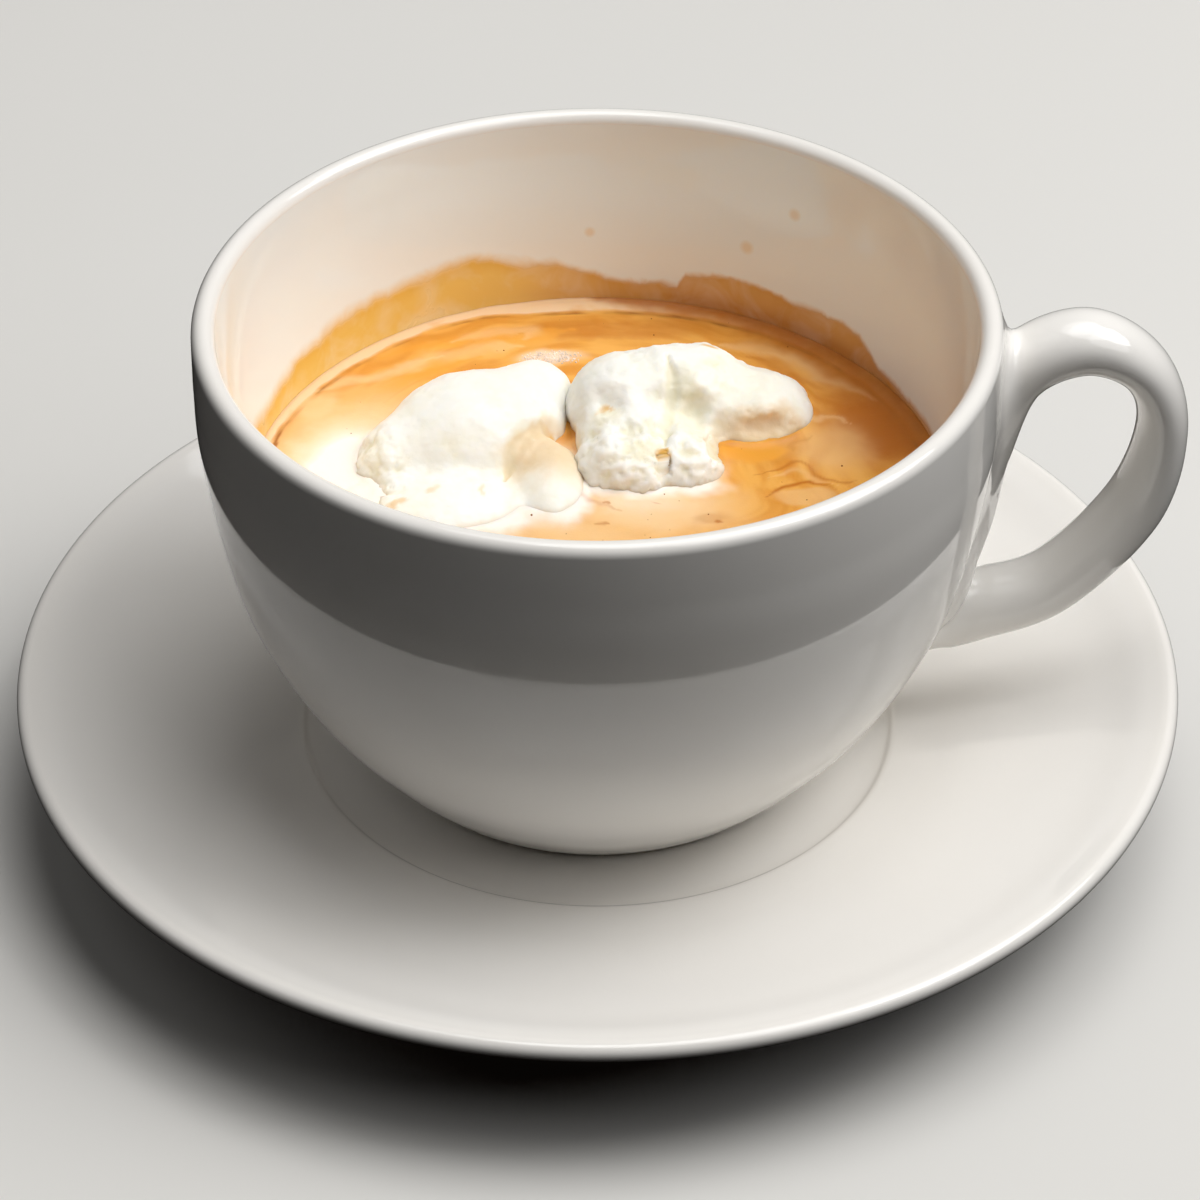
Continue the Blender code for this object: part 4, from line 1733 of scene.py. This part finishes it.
DRINK = Coffee(
    lumps=(LEFT_LUMP, RIGHT_LUMP),
    scatters=(
        Scatter(
            "foam_bubbles", (Patch((-4.6, 30.6), (3.4, 1.4), 0, 1, 0.9),), 0,
            DropletFinish("#FBE9DA", 0.5), 14, 0.08, 0.2, 7,
        ),
        Scatter(
            "coffee_specks", (Patch((8, -8), (16, 4), 0, 1),), 0.25,
            DropletFinish("#9A5E28", 0.6), 0.06, 0.05, 0.15, 11,
        ),
    ),
    marks={
        # The long streak along the right wall and the patch beside it are painted shade cast by the wall; the
        # small streaks are brown coffee.
        Tint.BROWN: (
            Streak(((-2, 47), (12, 43.5), (25, 36.5), (36, 25), (43, 9), (44, -8)), 5.5, 0.75),
            Patch((38.5, 9.5), (3.2, 6), 20, 0.55, 1.2), Patch((14.3, -7.5), (2.4, 1.1), 10, 0.4, 0.9),
            Streak(((-4.6, 4.5), (-3.4, 1), (-2, -2), (-0.3, -3.8), (2.2, -5.4)), 0.7, 0.38),
            Streak(((-0.6, -7.4), (1.1, -7.9)), 0.4, 0.6), Streak(((0.2, -3.6), (1.3, -4.3)), 0.4, 0.65),
            Streak(((14.6, -8), (15.9, -8.4)), 0.45, 0.7), Streak(((7, -3.6), (8.4, -4.2)), 0.3, 0.4),
            Streak(((29, 10.5), (27, 9), (26.6, 6.5)), 0.7, 0.3),
        ),
        Tint.DEEP: (
            Patch((4, 36.8), (13, 2.6), -3, 0.55, 0.9),
            # This patch by the right wall is painted shade cast by the wall; the other deep marks are darker
            # coffee.
            Patch((36.5, 12), (6, 11), 20, 0.85, 1.2),
            Patch((12.4, -8.6), (1.3, 0.6), 0, 0.7, 0.8),
            Patch((22.4, 7.2), (1.2, 0.6), 0, 0.7, 0.8),
            Streak(
                ((22, 29.5), (24.2, 27.9), (27.1, 24.5), (30.1, 22.6), (33, 19.2), (35.8, 15.6)), 1.5, 0.55
            ),
            Streak(
                ((21.5, -4.2), (23.1, -2.7), (24.8, -1.5), (27.2, -0.6), (29.4, -1.4), (30.8, -2.4)), 0.6, 0.8
            ),
            Streak(((20.8, 2.1), (25.2, 3.8), (27.5, 3.1), (28.8, 1), (32.2, -0.5), (33.7, -0.3)), 0.6, 0.65),
        ),
        Tint.GOLD: (
            Patch((21.3, 6.6), (5.4, 1.8), 14, 0.95, 0.8),
            Patch((-32, 18.6), (7, 2.2), 35, 0.6, 1),
            Streak(((-3.7, 5.5), (-3, 1), (-1.1, -3.1), (1.3, -8.7)), 1.6, 0.8),
            Streak(((-34.5, 20.6), (-32.5, 22), (-26.5, 24.8), (-20.1, 29.1), (-14.5, 31.5)), 1.5, 0.8),
            Streak(((-28, 32.2), (-21.6, 34.6), (-12, 35.6), (-6.3, 35.6), (-1.3, 37.6)), 1.6, 0.6),
        ),
        Tint.PEACH: (
            Streak(((-18.5, 35.2), (-14, 36.6), (-10, 37.6), (-7.2, 37.2), (-8.6, 35.6)), 1.7, 0.6),
            Patch((-36.6, 20.4), (2.2, 4.4), -28, 0.8, 1.1),
            Streak(((19, 32.6), (22.5, 32), (26, 30), (30, 26.6), (34, 22.6), (37.5, 19)), 2.2, 0.6),
            Patch((-5, 31), (4.5, 1.6), 0, 0.7, 0.9),
            Patch((31.6, 7.6), (5.4, 6), 0, 0.6, 1.1),
            Patch((26.8, -3.8), (4.2, 1.8), 0, 0.6, 0.6),
            Patch((3, -9), (17, 5), 0, 0.6, 0.9),
        ),
        Tint.PALE: (
            Streak(
                ((-37, 24.5), (-33.5, 25.9), (-30, 26.6), (-27, 27.6), (-23.5, 29.6), (-19, 31.6)), 1.9, 0.62
            ),
            Streak(((-24.5, 29.4), (-19, 31.8), (-13.5, 33.3), (-9, 34.2)), 1.8, 0.45),
            Streak(((24, 30.8), (29, 26.8), (33.3, 22.6), (37.2, 19.2)), 0.9, 0.4),
            Streak(((27, 13.2), (31.3, 14.4), (35.2, 12.4)), 0.6, 0.5),
            Streak(((22, 0.8), (25.6, 2.4), (28, 0.4), (31.8, -1.6)), 0.8, 0.4),
            Patch((7.5, -5), (10, 5.4), 0, 0.9, 1.3),
            Patch((-31, 6), (13, 17), -14, 0.9, 1),
            Patch((-8, -11), (16, 7), 0, 0.6, 1.2),
        ),
        Tint.CREAM: (
            Patch((-33.2, 6.5), (5.6, 8.6), -14, 1, 1.3),
            Patch((-26, -3), (11.5, 8), -20, 0.9, 1.3), Patch((-4.6, 30.6), (4.2, 1.8), 0, 0.55, 1),
            Patch((4.6, -3.4), (7, 2.6), -8, 0.4, 1.3),
        ),
    }
)


def report(label: str, made: Sequence[bpy.types.Object]) -> None:
    """Logs the size of each piece and lets it ride on the part's one body.

    Args:
        label: Name of the sub-assembly.
        made: Its pieces.
    """
    for piece in made:
        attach(piece, "root")
        triangles = sum(len(face.vertices) - 2 for face in piece.data.polygons)
        size = ", ".join(f"{side / MM:.1f}" for side in piece.dimensions)
        LOG.info("%s: %s, %d triangles, %s mm", label, piece.name, triangles, size)


def main() -> None:
    """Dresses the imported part."""
    logging.basicConfig(level=logging.INFO, format="%(message)s", stream=sys.stdout)
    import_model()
    Studio().build()
    builders: dict[str, Callable[[], list[bpy.types.Object]]] = {
        "saucer": Saucer().build,
        "cup": Cup().build,
        "coffee": DRINK.build,
        "left lump": LEFT_LUMP.build,
        "right lump": RIGHT_LUMP.build,
    }
    for label, build in builders.items():
        report(label, build())


if __name__ == "__main__":
    main()
